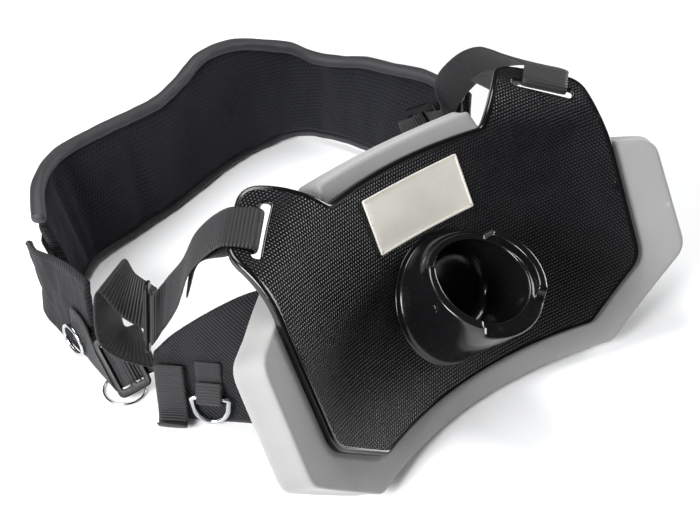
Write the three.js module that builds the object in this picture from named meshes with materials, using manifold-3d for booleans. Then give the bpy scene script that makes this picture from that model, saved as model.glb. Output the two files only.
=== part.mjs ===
// Fishing fighting belt: a butterfly-shaped rod plate with a tilted cup, a thick foam pad,
// a padded waist belt, webbing straps, tri-glide sliders and steel rings. Millimetres, +Z up.
// The belt stands on a table. X is its width, the plate faces -Y and leans back.

import * as THREE from 'three';
import { mergeVertices } from 'three/addons/utils/BufferGeometryUtils.js';
import Module from 'manifold-3d';

const wasm = await Module();
wasm.setup();

// Stance of the plate and pad
const leanDeg = 32.2;          // how far the plate leans back from upright
const seatHeight = 2.1;        // height of the plate's origin over the table
const bendRadius = 310;        // the wings of the plate and pad come forward on this radius
const clearance = 0.3;         // gap between pieces that touch

// Moulded plate, sizes along the sheet before it is bent
const plateHalfWidth = 168;
const plateHeight = 207.5;     // from the pad's lowest corner to the notch under an ear
const plateWall = 3.2;
const plateSkirt = 6;
const earLength = 67.5;         // from the fold at the ear's root to its outer edge
const earBendRadius = 52;
const slotWidth = 7;
const slotMiddle = 38;         // from the ear's fold to the middle of the slot
const slotBar = 22;            // bar between the slot and the ear's outer edge

// Cup for the rod butt
const cupRimRadius = 46;
const cupBoreRadius = 36.5;
const cupBoreShift = 3.5;      // the bore stands high in the rim, so the lower ledge is wide
const cupTiltDeg = 38;
const cupRise = 49.5;
const cupSeatUp = 98;          // height of the cup's foot on the plate
const cupRimUp = 111;
const cupFloor = 3;
const cheekHeight = 9;
const cheekWall = 7.5;

// Metal badge
const badgeWidth = 94;
const badgeHeight = 43.5;
const badgeUp = cupSeatUp + 77.8;
const badgeThickness = 1.2;
const badgeBorder = 1.6;
const badgeBorderLift = 0.5;

// Foam pad
const padHalfWidth = 205.5;
const padHeight = 222;
const padThickness = 25;

// Waist belt
const loopHalfWidth = 200;
const loopDepth = 400;
const beltTall = 125;
const beltThickness = 11;
const bindingWidth = 13.4;
const bindingTall = 10;
const footBindingTall = 6;
const panelThickness = 4;
const wingThickness = 5;

// Webbing and hardware
const webWidth = 36;
const webThickness = 1.8;
const sliderLong = 52;
const sliderShort = 30;
const sliderThickness = 3;
const sliderRail = 4.8;
const ringWire = 4.2;
const ringWidth = 28;
const ringHeight = 25;
const thinRingWire = 1.8;
const thinRingSize = 27;

const finishes = {
  plate: { color: 0x141416, roughness: 0.42, metalness: 0 },
  badge: { color: 0xb9b5a6, roughness: 0.32, metalness: 1 },
  foam: { color: 0x8b8d90, roughness: 0.9, metalness: 0 },
  mesh: { color: 0x1b1c20, roughness: 0.95, metalness: 0 },
  cloth: { color: 0x16171a, roughness: 0.9, metalness: 0 },
  webbing: { color: 0x131316, roughness: 0.8, metalness: 0 },
  slider: { color: 0x101012, roughness: 0.35, metalness: 0 },
  steel: { color: 0xc9cbce, roughness: 0.2, metalness: 1 },
};

// Cutting is done on a slightly dished sheet, so that its facets survive the cut
const dish = 2e-4;
const dishFrom = 0.7 * plateHeight;

function dishLift(p, withEars) {
  const up = withEars ? Math.max(0, p.y - dishFrom) : 0;
  return dish * (p.x * p.x + up * up);
}

function toSolid(geometry) {
  const bare = geometry.clone();
  bare.deleteAttribute('normal');
  bare.deleteAttribute('uv');
  const merged = mergeVertices(bare, 1e-5);
  const vertProperties = new Float32Array(merged.attributes.position.array);
  const triVerts = new Uint32Array(merged.index.array);
  return new wasm.Manifold(new wasm.Mesh({ numProp: 3, vertProperties, triVerts }));
}

function toGeometry(solid) {
  const mesh = solid.getMesh();
  const geometry = new THREE.BufferGeometry();
  geometry.setAttribute('position', new THREE.BufferAttribute(new Float32Array(mesh.vertProperties), 3));
  geometry.setIndex(new THREE.BufferAttribute(new Uint32Array(mesh.triVerts), 1));
  geometry.computeVertexNormals();
  return geometry;
}

function movePoints(geometry, place) {
  const position = geometry.attributes.position;
  const point = new THREE.Vector3();
  for (let i = 0; i < position.count; i += 1) {
    point.fromBufferAttribute(position, i);
    place(point);
    position.setXYZ(i, point.x, point.y, point.z);
  }
  geometry.computeVertexNormals();
  return geometry;
}

// Closed outlines

function cornerPoints(before, corner, after, steps) {
  if (!corner.round) {
    return [new THREE.Vector2(corner.x, corner.y)];
  }
  const here = new THREE.Vector2(corner.x, corner.y);
  const back = new THREE.Vector2(before.x, before.y).sub(here);
  const on = new THREE.Vector2(after.x, after.y).sub(here);
  const cut = Math.min(corner.round, back.length() * 0.48, on.length() * 0.48);
  const start = here.clone().add(back.setLength(cut));
  const end = here.clone().add(on.setLength(cut));
  const curve = new THREE.QuadraticBezierCurve(start, here, end);
  return curve.getPoints(steps);
}

function roundedOutline(corners, steps = 5) {
  const last = corners.length;
  return corners.flatMap((corner, i) => (
    cornerPoints(corners[(i + last - 1) % last], corner, corners[(i + 1) % last], steps)
  ));
}

// Half an outline, listed from the bottom to the top, is mirrored and its two middle edges bow
function mirroredOutline(half, bottomRise, topRise, steps = 5) {
  const bow = (from, rise) => {
    const points = [];
    const count = 10;
    for (let i = 1; i < count; i += 1) {
      const x = -from.x + (2 * from.x * i) / count;
      points.push({ x, y: from.y + rise * (1 - (x / from.x) ** 2) });
    }
    return points;
  };
  const first = half[0];
  const top = half[half.length - 1];
  const left = half.map((corner) => ({ ...corner, x: -corner.x })).reverse();
  const across = bow(top, topRise).reverse();
  return roundedOutline([...half, ...across, ...left, ...bow(first, bottomRise)], steps);
}

function insetOutline(points, inset) {
  const last = points.length;
  return points.map((point, i) => {
    const before = points[(i + last - 1) % last];
    const after = points[(i + 1) % last];
    const a = new THREE.Vector2(point.x - before.x, point.y - before.y).normalize();
    const b = new THREE.Vector2(after.x - point.x, after.y - point.y).normalize();
    const side = new THREE.Vector2(-a.y - b.y, a.x + b.x).normalize();
    const reach = inset / Math.max(0.5, side.x * -a.y + side.y * a.x);
    return new THREE.Vector2(point.x + side.x * reach, point.y + side.y * reach);
  });
}

function prism(points, low, high) {
  const shape = new THREE.Shape(points.map((p) => new THREE.Vector2(p.x, p.y)));
  const geometry = new THREE.ExtrudeGeometry(shape, { depth: high - low, bevelEnabled: false });
  geometry.translate(0, 0, low);
  return toSolid(geometry);
}

function spacedLines(low, high, step) {
  const count = Math.max(1, Math.round((high - low) / step));
  return Array.from({ length: count + 1 }, (_, i) => low + ((high - low) * i) / count);
}

// A block whose broad faces follow the dish, with a vertex at each crossing of the lines
function sheetBlock(across, up, low, high, withEars = false) {
  const geometry = new THREE.BoxGeometry(1, 1, 1, across.length - 1, up.length - 1, 1);
  movePoints(geometry, (p) => {
    const x = across[Math.round((p.x + 0.5) * (across.length - 1))];
    const y = up[Math.round((p.y + 0.5) * (up.length - 1))];
    const level = p.z > 0 ? high : low;
    p.set(x, y, 0);
    p.z = level + dishLift(p, withEars);
  });
  return toSolid(geometry);
}

// The ears fold back beyond a line through the notch and the shoulder
const notch = new THREE.Vector2(0.451 * plateHalfWidth, plateHeight);
const shoulder = new THREE.Vector2(1.027 * plateHalfWidth, 0.761 * plateHeight);
const foldAlong = shoulder.clone().sub(notch).normalize();
const foldOut = new THREE.Vector2(-foldAlong.y, foldAlong.x);
const foldLength = shoulder.distanceTo(notch);

function earSpot(along, out) {
  return notch.clone().addScaledVector(foldAlong, along).addScaledVector(foldOut, out);
}

function foldEar(p) {
  const side = p.x < 0 ? -1 : 1;
  const spot = new THREE.Vector2(Math.abs(p.x), p.y);
  const out = spot.clone().sub(notch).dot(foldOut);
  if (out <= 0 || spot.x < notch.x * 0.5) {
    return p;
  }
  const turn = out / earBendRadius;
  const reach = (earBendRadius + p.z) * Math.sin(turn);
  spot.addScaledVector(foldOut, reach - out);
  const lift = (earBendRadius + p.z) * Math.cos(turn) - earBendRadius;
  return p.set(side * spot.x, spot.y, lift);
}

function bendSheet(p) {
  const turn = p.x / bendRadius;
  const reach = bendRadius - p.z;
  return p.set(reach * Math.sin(turn), p.y, bendRadius - reach * Math.cos(turn));
}

function layOut(solid, withEars) {
  return movePoints(toGeometry(solid), (p) => {
    p.z -= dishLift(p, withEars);
    if (withEars) {
      foldEar(p);
    }
    bendSheet(p);
  });
}

// Plate

const plateHalf = [
  { x: 0.664 * plateHalfWidth, y: 0.111 * plateHeight, round: 9 },
  { x: 0.993 * plateHalfWidth, y: 0.281 * plateHeight, round: 12 },
  { x: shoulder.x, y: shoulder.y, round: 14 },
  { ...xy(earSpot(0.727 * foldLength, 0.815 * earLength)), round: 13 },
  { ...xy(earSpot(0.171 * foldLength, earLength)), round: 15 },
  { x: notch.x, y: notch.y, round: 18 },
];

function xy(v) {
  return { x: v.x, y: v.y };
}

function slotOutline(side) {
  const near = earSpot(0.281 * foldLength, earLength - slotBar - slotWidth / 2);
  const far = earSpot(0.653 * foldLength, earLength - slotBar - slotWidth * 1.48);
  const along = far.clone().sub(near).normalize();
  const out = new THREE.Vector2(-along.y, along.x).multiplyScalar(slotWidth / 2);
  const end = slotWidth / 2;
  const corners = [
    near.clone().addScaledVector(along, -end).sub(out),
    far.clone().addScaledVector(along, end).sub(out),
    far.clone().addScaledVector(along, end).add(out),
    near.clone().addScaledVector(along, -end).add(out),
  ];
  const points = roundedOutline(corners.map((p) => ({ x: side * p.x, y: p.y, round: 2.8 })), 3);
  return side > 0 ? points : points.reverse();
}

function makeShield() {
  const outline = mirroredOutline(plateHalf, 0.034 * plateHeight, 0.022 * plateHeight);
  const reach = plateHalfWidth * 1.12;
  const inner = plateHalfWidth * 0.42;
  const across = [
    ...spacedLines(-reach, -inner, 13), ...spacedLines(-inner * 0.75, inner * 0.75, 18),
    ...spacedLines(inner, reach, 13),
  ];
  const up = [-10, dishFrom, ...spacedLines(0.76 * plateHeight, 1.28 * plateHeight, 10)];
  let solid = sheetBlock(across, up, -plateSkirt, 0, true).intersect(prism(outline, -60, 60));
  const hollow = sheetBlock(across, up, -plateSkirt - 4, -plateWall, true);
  solid = solid.subtract(hollow.intersect(prism(insetOutline(outline, plateWall), -60, 60)));
  [-1, 1].forEach((side) => {
    solid = solid.subtract(prism(slotOutline(side), -60, 60));
  });
  return layOut(solid, true);
}

// Cup: rings are lofted from the foot on the plate to the tilted rim

function cupRing(t, radius, shift) {
  const tilt = THREE.MathUtils.degToRad(cupTiltDeg) * Math.min(1, Math.max(0, t));
  const centre = new THREE.Vector3(0, cupSeatUp + (cupRimUp - cupSeatUp) * t, cupRise * t);
  const upward = new THREE.Vector3(0, Math.cos(tilt), -Math.sin(tilt));
  const axis = new THREE.Vector3(0, Math.sin(tilt), Math.cos(tilt));
  return { centre: centre.addScaledVector(upward, shift), upward, axis, radius };
}

// The foot of the cup follows the bend of the plate
function ringPoints(ring, count, follow = 0) {
  return Array.from({ length: count }, (_, i) => {
    const angle = (2 * Math.PI * i) / count;
    return ring.centre.clone()
      .addScaledVector(ring.upward, ring.radius * Math.sin(angle))
      .add(new THREE.Vector3(
        ring.radius * Math.cos(angle), 0, (follow * (ring.radius * Math.cos(angle)) ** 2) / (2 * bendRadius),
      ));
  });
}

// Closed body from a row of closed sections with the same number of points
function loft(sections, closed = false) {
  const count = sections[0].length;
  const positions = sections.flat().flatMap((p) => [p.x, p.y, p.z]);
  const index = [];
  const rows = closed ? sections.length : sections.length - 1;
  for (let i = 0; i < rows; i += 1) {
    const here = i * count;
    const next = ((i + 1) % sections.length) * count;
    for (let j = 0; j < count; j += 1) {
      const k = (j + 1) % count;
      index.push(here + j, here + k, next + k, here + j, next + k, next + j);
    }
  }
  if (!closed) {
    const lastRow = (sections.length - 1) * count;
    [0, lastRow].forEach((row) => {
      const middle = new THREE.Vector3();
      sections[row / count].forEach((p) => middle.add(p));
      middle.divideScalar(count);
      const hub = positions.length / 3;
      positions.push(middle.x, middle.y, middle.z);
      for (let j = 0; j < count; j += 1) {
        const k = (j + 1) % count;
        index.push(...(row === 0 ? [hub, row + k, row + j] : [hub, row + j, row + k]));
      }
    });
  }
  const geometry = new THREE.BufferGeometry();
  geometry.setAttribute('position', new THREE.Float32BufferAttribute(positions, 3));
  geometry.setIndex(index);
  return facingOut(geometry);
}

function facingOut(geometry) {
  const p = geometry.attributes.position;
  const index = geometry.index.array;
  const a = new THREE.Vector3();
  const b = new THREE.Vector3();
  const c = new THREE.Vector3();
  let volume = 0;
  for (let i = 0; i < index.length; i += 3) {
    a.fromBufferAttribute(p, index[i]);
    b.fromBufferAttribute(p, index[i + 1]);
    c.fromBufferAttribute(p, index[i + 2]);
    volume += a.dot(b.cross(c));
  }
  if (volume < 0) {
    geometry.setIndex(Array.from(index).reverse());
  }
  geometry.computeVertexNormals();
  return geometry;
}

function makeCup() {
  const sides = 32;
  const outer = [
    { t: -0.06, flare: 5.4 }, { t: 0.03, flare: 4.4 }, { t: 0.06, flare: 2.9 }, { t: 0.12, flare: 1.7 },
    { t: 0.22, flare: 0.7 }, { t: 0.4, flare: 0.2 }, { t: 0.6, flare: 0 }, { t: 0.8, flare: 0 },
    { t: 1, flare: 0 },
  ].map(({ t, flare }) => (
    ringPoints(cupRing(t, cupRimRadius + flare, 0), sides, Math.min(1, 1 - t) ** 2)
  ));
  const floorT = cupFloor / cupRise;
  const inner = [
    { t: 1.1, share: 1, lift: 1 }, { t: 1, share: 1, lift: 1 }, { t: 0.8, share: 0.985, lift: 0.9 },
    { t: 0.6, share: 0.96, lift: 0.75 }, { t: 0.4, share: 0.93, lift: 0.5 },
    { t: 0.24, share: 0.87, lift: 0.3 }, { t: 0.13, share: 0.74, lift: 0.1 },
    { t: floorT + 0.02, share: 0.5, lift: 0 }, { t: floorT, share: 0.2, lift: 0 },
  ].map(({ t, share, lift }) => (
    ringPoints(cupRing(t, cupBoreRadius * share, cupBoreShift * lift), sides)
  ));
  return { body: toSolid(loft(outer)), bore: toSolid(loft(inner)) };
}

// Raised cheeks stand on the rim to the left and right
function makeCheeks() {
  const quarter = Math.PI / 4;
  const rim = cupRing(1, cupRimRadius, 0);
  const place = new THREE.Matrix4().makeBasis(new THREE.Vector3(1, 0, 0), rim.upward, rim.axis);
  place.setPosition(rim.centre.clone().addScaledVector(rim.axis, -2));
  return [0, Math.PI].map((turn) => {
    const shape = new THREE.Shape();
    shape.absarc(0, 0, cupRimRadius - 0.6, turn - quarter, turn + quarter, false);
    shape.absarc(0, 0, cupRimRadius - cheekWall, turn + quarter, turn - quarter, true);
    const options = { depth: cheekHeight + 2, bevelEnabled: false, curveSegments: 9 };
    const geometry = new THREE.ExtrudeGeometry(shape, options);
    geometry.applyMatrix4(place);
    return toSolid(geometry);
  });
}

function makePlate() {
  const cup = makeCup();
  const [right, left] = makeCheeks();
  const shield = toSolid(makeShield());
  const joined = shield.add(cup.body).subtract(cup.bore).add(right).add(left);
  return toGeometry(joined);
}

// Badge

function plateOutline(halfWidth, halfHeight, round) {
  return roundedOutline([
    { x: -halfWidth, y: badgeUp - halfHeight, round }, { x: halfWidth, y: badgeUp - halfHeight, round },
    { x: halfWidth, y: badgeUp + halfHeight, round }, { x: -halfWidth, y: badgeUp + halfHeight, round },
  ], 2);
}

function makeBadge() {
  const across = spacedLines(-badgeWidth / 2 - 1, badgeWidth / 2 + 1, 12);
  const up = [badgeUp - badgeHeight / 2 - 1, badgeUp + badgeHeight / 2 + 1];
  const outer = plateOutline(badgeWidth / 2, badgeHeight / 2, 1.2);
  const inner = plateOutline(badgeWidth / 2 - badgeBorder, badgeHeight / 2 - badgeBorder, 0.8);
  const top = clearance + badgeThickness;
  const full = sheetBlock(across, up, clearance, top + badgeBorderLift).intersect(prism(outer, -40, 60));
  const field = sheetBlock(across, up, top, top + 5).intersect(prism(inner, -40, 60));
  return layOut(full.subtract(field), false);
}

// Foam pad

function makePad() {
  const half = [
    { x: 0.61 * padHalfWidth, y: 0, round: 9 },
    { x: 0.99 * padHalfWidth, y: 0.239 * padHeight, round: 11 },
    { x: padHalfWidth, y: 0.656 * padHeight, round: 12 },
    { x: 0.862 * padHalfWidth, y: 0.7 * padHeight, round: 4 },
    { x: 0.372 * padHalfWidth, y: 0.936 * padHeight, round: 3 },
    { x: 0.354 * padHalfWidth, y: padHeight, round: 5 },
  ];
  const outline = mirroredOutline(half, 0.04 * padHeight, 0.006 * padHeight, 3);
  const across = spacedLines(-padHalfWidth - 5, padHalfWidth + 5, 21);
  const front = -plateSkirt - clearance - 0.15;
  const block = sheetBlock(across, [-10, padHeight + 10], front - padThickness, front);
  const geometry = layOut(block.intersect(prism(outline, -60, 90)), false);
  return pressFlat(geometry);
}

// The foam is pressed flat where the leaning pad meets the table
function pressFlat(geometry) {
  const lean = new THREE.Matrix4().makeRotationX(THREE.MathUtils.degToRad(90 - leanDeg));
  lean.setPosition(0, 0, seatHeight);
  geometry.applyMatrix4(lean);
  const cut = toGeometry(toSolid(geometry).trimByPlane([0, 0, 1], 0));
  return cut.applyMatrix4(lean.invert());
}

// Walls of cloth: each row gives the foot and the head of the wall's middle

function wallRows(table) {
  const foot = new THREE.CatmullRomCurve3(table.map((row) => new THREE.Vector3(
    row.x * loopHalfWidth, row.y * loopDepth, row.z * beltTall,
  )), false, 'centripetal');
  const head = new THREE.CatmullRomCurve3(table.map((row) => new THREE.Vector3(
    (row.x + row.dx) * loopHalfWidth, (row.y + row.dy) * loopDepth, row.top * beltTall,
  )), false, 'centripetal');
  return { foot, head, last: table.length - 1 };
}

// The section is a list of points: across the wall in millimetres, and up it as a share plus a lift
function wall(table, section, stepsPerRow) {
  const { foot, head, last } = wallRows(table);
  const steps = last * stepsPerRow;
  const sections = [];
  for (let i = 0; i <= steps; i += 1) {
    const t = i / steps;
    const low = foot.getPoint(t);
    const high = head.getPoint(t);
    const ahead = foot.getTangent(t).add(head.getTangent(t));
    const rise = high.clone().sub(low);
    const tall = rise.length();
    rise.normalize();
    const across = new THREE.Vector3().crossVectors(rise, ahead).normalize();
    sections.push(section.map(({ side, share, lift }) => (
      low.clone().addScaledVector(rise, share * tall + lift).addScaledVector(across, side)
    )));
  }
  return loft(sections);
}

function slabSection(thickness, footLift, headLift, soft) {
  const half = thickness / 2;
  return [
    { side: half - soft, share: 0, lift: footLift }, { side: half, share: 0, lift: footLift + soft },
    { side: half, share: 1, lift: headLift - soft }, { side: half - soft, share: 1, lift: headLift },
    { side: soft - half, share: 1, lift: headLift }, { side: -half, share: 1, lift: headLift - soft },
    { side: -half, share: 0, lift: footLift + soft }, { side: soft - half, share: 0, lift: footLift },
  ];
}

function capSection(width, share, from, to, soft) {
  const half = width / 2;
  const up = Math.sign(to - from);
  return [
    { side: half, share, lift: from }, { side: half, share, lift: to - up * soft },
    { side: half - soft, share, lift: to }, { side: soft - half, share, lift: to },
    { side: -half, share, lift: to - up * soft }, { side: -half, share, lift: from },
  ];
}

// Padded waist belt from its left end round the back to its right end.
// x, y and z place the foot, dx and dy lean the head, and top is the head's height.
const beltTable = [
  { x: -0.85, y: 0.846, z: 0.007, dx: -0.165, dy: -0.055, top: 0.86 },
  { x: -0.79, y: 0.862, z: 0.007, dx: -0.14, dy: 0.0, top: 0.94 },
  { x: -0.69, y: 0.895, z: 0.007, dx: -0.075, dy: 0.035, top: 0.945 },
  { x: -0.52, y: 0.912, z: 0.007, dx: -0.02, dy: 0.041, top: 0.94 },
  { x: -0.34, y: 0.928, z: 0.007, dx: 0, dy: 0.033, top: 0.935 },
  { x: -0.2, y: 0.943, z: 0.007, dx: 0, dy: 0.025, top: 0.94 },
  { x: -0.06, y: 0.962, z: 0.007, dx: 0, dy: 0.02, top: 1.0 },
  { x: 0.08, y: 0.983, z: 0.007, dx: 0, dy: 0.015, top: 1.08 },
  { x: 0.26, y: 1.002, z: 0.007, dx: 0, dy: -0.005, top: 1.075 },
  { x: 0.42, y: 1.005, z: 0.007, dx: 0.02, dy: -0.03, top: 0.99 },
  { x: 0.53, y: 0.995, z: 0.03, dx: 0.01, dy: -0.038, top: 0.93 },
  { x: 0.63, y: 0.965, z: 0.045, dx: -0.02, dy: -0.045, top: 0.86 },
  { x: 0.69, y: 0.905, z: 0.065, dx: -0.01, dy: -0.045, top: 0.87 },
  { x: 0.735, y: 0.835, z: 0.08, dx: 0, dy: -0.02, top: 0.9 },
  { x: 0.775, y: 0.755, z: 0.08, dx: 0.01, dy: -0.01, top: 0.92 },
  { x: 0.83, y: 0.66, z: 0.06, dx: 0.02, dy: 0, top: 0.94 },
  { x: 0.88, y: 0.56, z: 0.05, dx: 0, dy: 0, top: 0.9 },
];

// Outer cloth wings carry the padded belt on to the buckles
const wingTables = {
  left: [
    { x: -0.965, y: 0.868, z: 0.12, dx: -0.052, dy: -0.01, top: 0.53 },
    { x: -1.045, y: 0.8, z: 0.05, dx: -0.01, dy: -0.01, top: 0.63 },
    { x: -1.05, y: 0.72, z: 0.02, dx: 0.01, dy: 0, top: 0.69 },
    { x: -1.05, y: 0.66, z: 0.02, dx: 0.02, dy: 0, top: 0.73 },
    { x: -1.045, y: 0.605, z: 0.03, dx: 0.02, dy: 0, top: 0.73 },
  ],
  right: [
    { x: 0.93, y: 0.77, z: 0.14, dx: 0.01, dy: 0, top: 0.66 },
    { x: 0.975, y: 0.71, z: 0.08, dx: 0.0, dy: 0, top: 0.7 },
    { x: 1.025, y: 0.66, z: 0.03, dx: 0, dy: 0, top: 0.73 },
    { x: 1.045, y: 0.605, z: 0.03, dx: -0.02, dy: 0, top: 0.73 },
  ],
};

// Cloth panel fixed behind the pad, whose two ends run back to the buckles
const panelHalf = [
  { x: 0.2, y: 0.103, z: 0.02, dx: 0, dy: 0.17, top: 0.9 },
  { x: 0.4, y: 0.118, z: 0.007, dx: 0, dy: 0.145, top: 0.94 },
  { x: 0.58, y: 0.185, z: 0.007, dx: 0, dy: 0.075, top: 1.04 },
  { x: 0.75, y: 0.277, z: 0.007, dx: 0, dy: 0.01, top: 1.03 },
  { x: 0.93, y: 0.372, z: 0.007, dx: 0, dy: 0, top: 0.73 },
  { x: 0.99, y: 0.408, z: 0.02, dx: 0, dy: 0, top: 0.55 },
];
const panelTable = [
  ...panelHalf.map((row) => ({ ...row, x: -row.x, dx: -row.dx })).reverse(),
  { x: 0, y: 0.107, z: 0.03, dx: 0, dy: 0.172, top: 0.9 },
  ...panelHalf,
];

// Webbing: a flat band through rows of centre points, each with the direction of its width

function band(rows, width, thickness, stepsPerRow = 4) {
  const middle = new THREE.CatmullRomCurve3(
    rows.map((row) => new THREE.Vector3(row.x, row.y, row.z)), false, 'centripetal',
  );
  const turns = new THREE.CatmullRomCurve3(
    rows.map((row) => new THREE.Vector3(row.wx, row.wy, row.wz).normalize()), false, 'catmullrom', 0,
  );
  const steps = (rows.length - 1) * stepsPerRow;
  const sections = [];
  for (let i = 0; i <= steps; i += 1) {
    const t = i / steps;
    const ahead = middle.getTangent(t);
    const wide = turns.getPoint(t).normalize();
    const out = new THREE.Vector3().crossVectors(ahead, wide).normalize();
    const centre = middle.getPoint(t);
    sections.push([[1, 1], [-1, 1], [-1, -1], [1, -1]].map(([a, b]) => (
      centre.clone().addScaledVector(wide, (a * width) / 2).addScaledVector(out, (b * thickness) / 2)
    )));
  }
  return loft(sections);
}

// A short band that twists as it goes: each row gives its place, the way of its width and of its face
function twistedBand(rows, width, thickness, stepsPerRow) {
  const corners = [[1, 1], [-1, 1], [-1, -1], [1, -1]].map(([a, b]) => new THREE.CatmullRomCurve3(
    rows.map(({ place, wide, out }) => (
      place.clone().addScaledVector(wide, (a * width) / 2).addScaledVector(out, (b * thickness) / 2)
    )), false, 'centripetal',
  ));
  const steps = (rows.length - 1) * stepsPerRow;
  const shares = Array.from({ length: steps + 1 }, (_, i) => i / steps);
  return loft(shares.map((t) => corners.map((curve) => curve.getPoint(t))));
}

// A spot on the ear: out from the fold and lifted off its front face. The slot is not parallel
// to the fold, and the webbing runs square to the slot.
const slotSlant = 0.18;

function earRow(side, out, lift) {
  const along = 0.478 * foldLength + slotSlant * (out - slotMiddle);
  const [here, left, right] = [0, -9, 9].map((step) => {
    const off = out - slotSlant * step;
    const spot = earSpot(along + step, off);
    const p = new THREE.Vector3(spot.x, spot.y, lift);
    const turn = off / earBendRadius;
    const reach = (earBendRadius + lift) * Math.sin(turn) - off;
    p.x += foldOut.x * reach;
    p.y += foldOut.y * reach;
    p.z = (earBendRadius + lift) * Math.cos(turn) - earBendRadius;
    bendSheet(p);
    p.x *= side;
    return p.applyEuler(shieldGroup.rotation).add(shieldGroup.position);
  });
  return row(here, right.sub(left));
}

function row(place, wide) {
  return { x: place.x, y: place.y, z: place.z, wx: wide.x, wy: wide.y, wz: wide.z };
}

function freeRow(side, spot) {
  const place = new THREE.Vector3(
    side * spot.x * loopHalfWidth, spot.y * loopDepth, spot.z * beltTall,
  );
  return row(place, new THREE.Vector3(side * spot.wx, spot.wy, spot.wz));
}

// Sliders

function sliderFrame(side, seat) {
  const long = new THREE.Vector3(side * seat.lx, seat.ly, seat.lz).normalize();
  const run = new THREE.Vector3(side * seat.rx, seat.ry, seat.rz);
  run.addScaledVector(long, -run.dot(long)).normalize();
  const face = new THREE.Vector3().crossVectors(long, run).multiplyScalar(side);
  const centre = new THREE.Vector3(
    side * seat.x * loopHalfWidth, seat.y * loopDepth, seat.z * beltTall,
  );
  return { long, run, face, centre };
}

function makeSlider(frame) {
  const shape = new THREE.Shape(roundedOutline([
    { x: -sliderLong / 2, y: -sliderShort / 2, round: 6 },
    { x: sliderLong / 2, y: -sliderShort / 2, round: 6 },
    { x: sliderLong / 2, y: sliderShort / 2, round: 6 },
    { x: -sliderLong / 2, y: sliderShort / 2, round: 6 },
  ], 4));
  const holeLong = (webWidth + 3) / 2;
  [-1, 1].forEach((side) => {
    const near = sliderRail / 2;
    const far = sliderShort / 2 - sliderRail;
    shape.holes.push(new THREE.Path([
      new THREE.Vector2(-holeLong, side * near), new THREE.Vector2(holeLong, side * near),
      new THREE.Vector2(holeLong, side * far), new THREE.Vector2(-holeLong, side * far),
    ]));
  });
  const geometry = new THREE.ExtrudeGeometry(shape, { depth: sliderThickness, bevelEnabled: false });
  geometry.translate(0, 0, -sliderThickness / 2);
  const third = new THREE.Vector3().crossVectors(frame.long, frame.run);
  const place = new THREE.Matrix4().makeBasis(frame.long, frame.run, third);
  geometry.applyMatrix4(place.setPosition(frame.centre));
  return toGeometry(toSolid(geometry));
}

// The webbing runs under both rails of a slider and over its middle bar
function weaveRows(frame) {
  const deep = sliderThickness / 2 + webThickness / 2 + clearance * 1.3;
  const table = [
    { run: -0.8, face: -1.7 }, { run: -0.5, face: -1.3 }, { run: -0.28, face: -0.66 },
    { run: -0.14, face: 0.66 }, { run: 0, face: 1 }, { run: 0.14, face: 0.66 },
    { run: 0.28, face: -0.66 }, { run: 0.5, face: -1.3 }, { run: 0.8, face: -1.7 },
  ];
  return table.map(({ run, face }) => row(
    frame.centre.clone()
      .addScaledVector(frame.run, run * sliderShort)
      .addScaledVector(frame.face, face * deep),
    frame.long,
  ));
}

// Rings

function tube(points, radius, sides, closed) {
  const curve = new THREE.CatmullRomCurve3(points, closed, 'centripetal');
  const geometry = new THREE.TubeGeometry(curve, points.length * 2, radius, sides, closed);
  return facingOut(mergeVertices(strip(geometry), 1e-4));
}

function strip(geometry) {
  geometry.deleteAttribute('normal');
  geometry.deleteAttribute('uv');
  return geometry;
}

function ringShape(seat, outline) {
  const across = new THREE.Vector3(seat.ax, seat.ay, seat.az).normalize();
  const up = new THREE.Vector3(seat.ux, seat.uy, seat.uz);
  up.addScaledVector(across, -up.dot(across)).normalize();
  const centre = new THREE.Vector3(seat.x * loopHalfWidth, seat.y * loopDepth, seat.z * beltTall);
  return outline.map(([a, b]) => (
    centre.clone().addScaledVector(across, a * seat.wide * 0.5).addScaledVector(up, b * seat.tall * 0.5)
  ));
}

const roundOutline = Array.from({ length: 12 }, (_, i) => (
  [Math.cos((Math.PI * i) / 6), Math.sin((Math.PI * i) / 6)]
));
const deeOutline = [
  [-1, 0.95], [-0.5, 1], [0, 1], [0.5, 1], [1, 0.95], [1, 0.45], [0.93, -0.1], [0.7, -0.6],
  [0.36, -0.9], [0, -1], [-0.36, -0.9], [-0.7, -0.6], [-0.93, -0.1], [-1, 0.45],
];

const object = new THREE.Group();
const shieldGroup = new THREE.Group();
shieldGroup.rotation.x = THREE.MathUtils.degToRad(90 - leanDeg);
shieldGroup.position.z = seatHeight;
object.add(shieldGroup);

function addPiece(group, name, geometry, finish) {
  const mesh = new THREE.Mesh(geometry, new THREE.MeshStandardMaterial(finishes[finish]));
  mesh.name = name;
  group.add(mesh);
  return mesh;
}

addPiece(shieldGroup, 'plate', makePlate(), 'plate');
addPiece(shieldGroup, 'badge', makeBadge(), 'badge');
addPiece(shieldGroup, 'foam_pad', makePad(), 'foam');

const beltHead = -bindingTall - clearance;
const beltFoot = footBindingTall + clearance;
addPiece(object, 'belt_pad', wall(beltTable, slabSection(beltThickness, beltFoot, beltHead, 2), 3), 'mesh');
addPiece(object, 'belt_binding_top', wall(beltTable, capSection(bindingWidth, 1, -bindingTall, 0, 4), 3), 'cloth');
addPiece(object, 'belt_binding_foot', wall(beltTable, capSection(bindingWidth, 0, footBindingTall, 0, 2), 3), 'cloth');
Object.entries(wingTables).forEach(([side, table]) => {
  addPiece(object, `belt_wing_${side}`, wall(table, slabSection(wingThickness, 0, 0, 1.5), 4), 'cloth');
});
addPiece(object, 'front_panel', wall(panelTable, slabSection(panelThickness, 0, 0, 1), 3), 'cloth');


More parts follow.
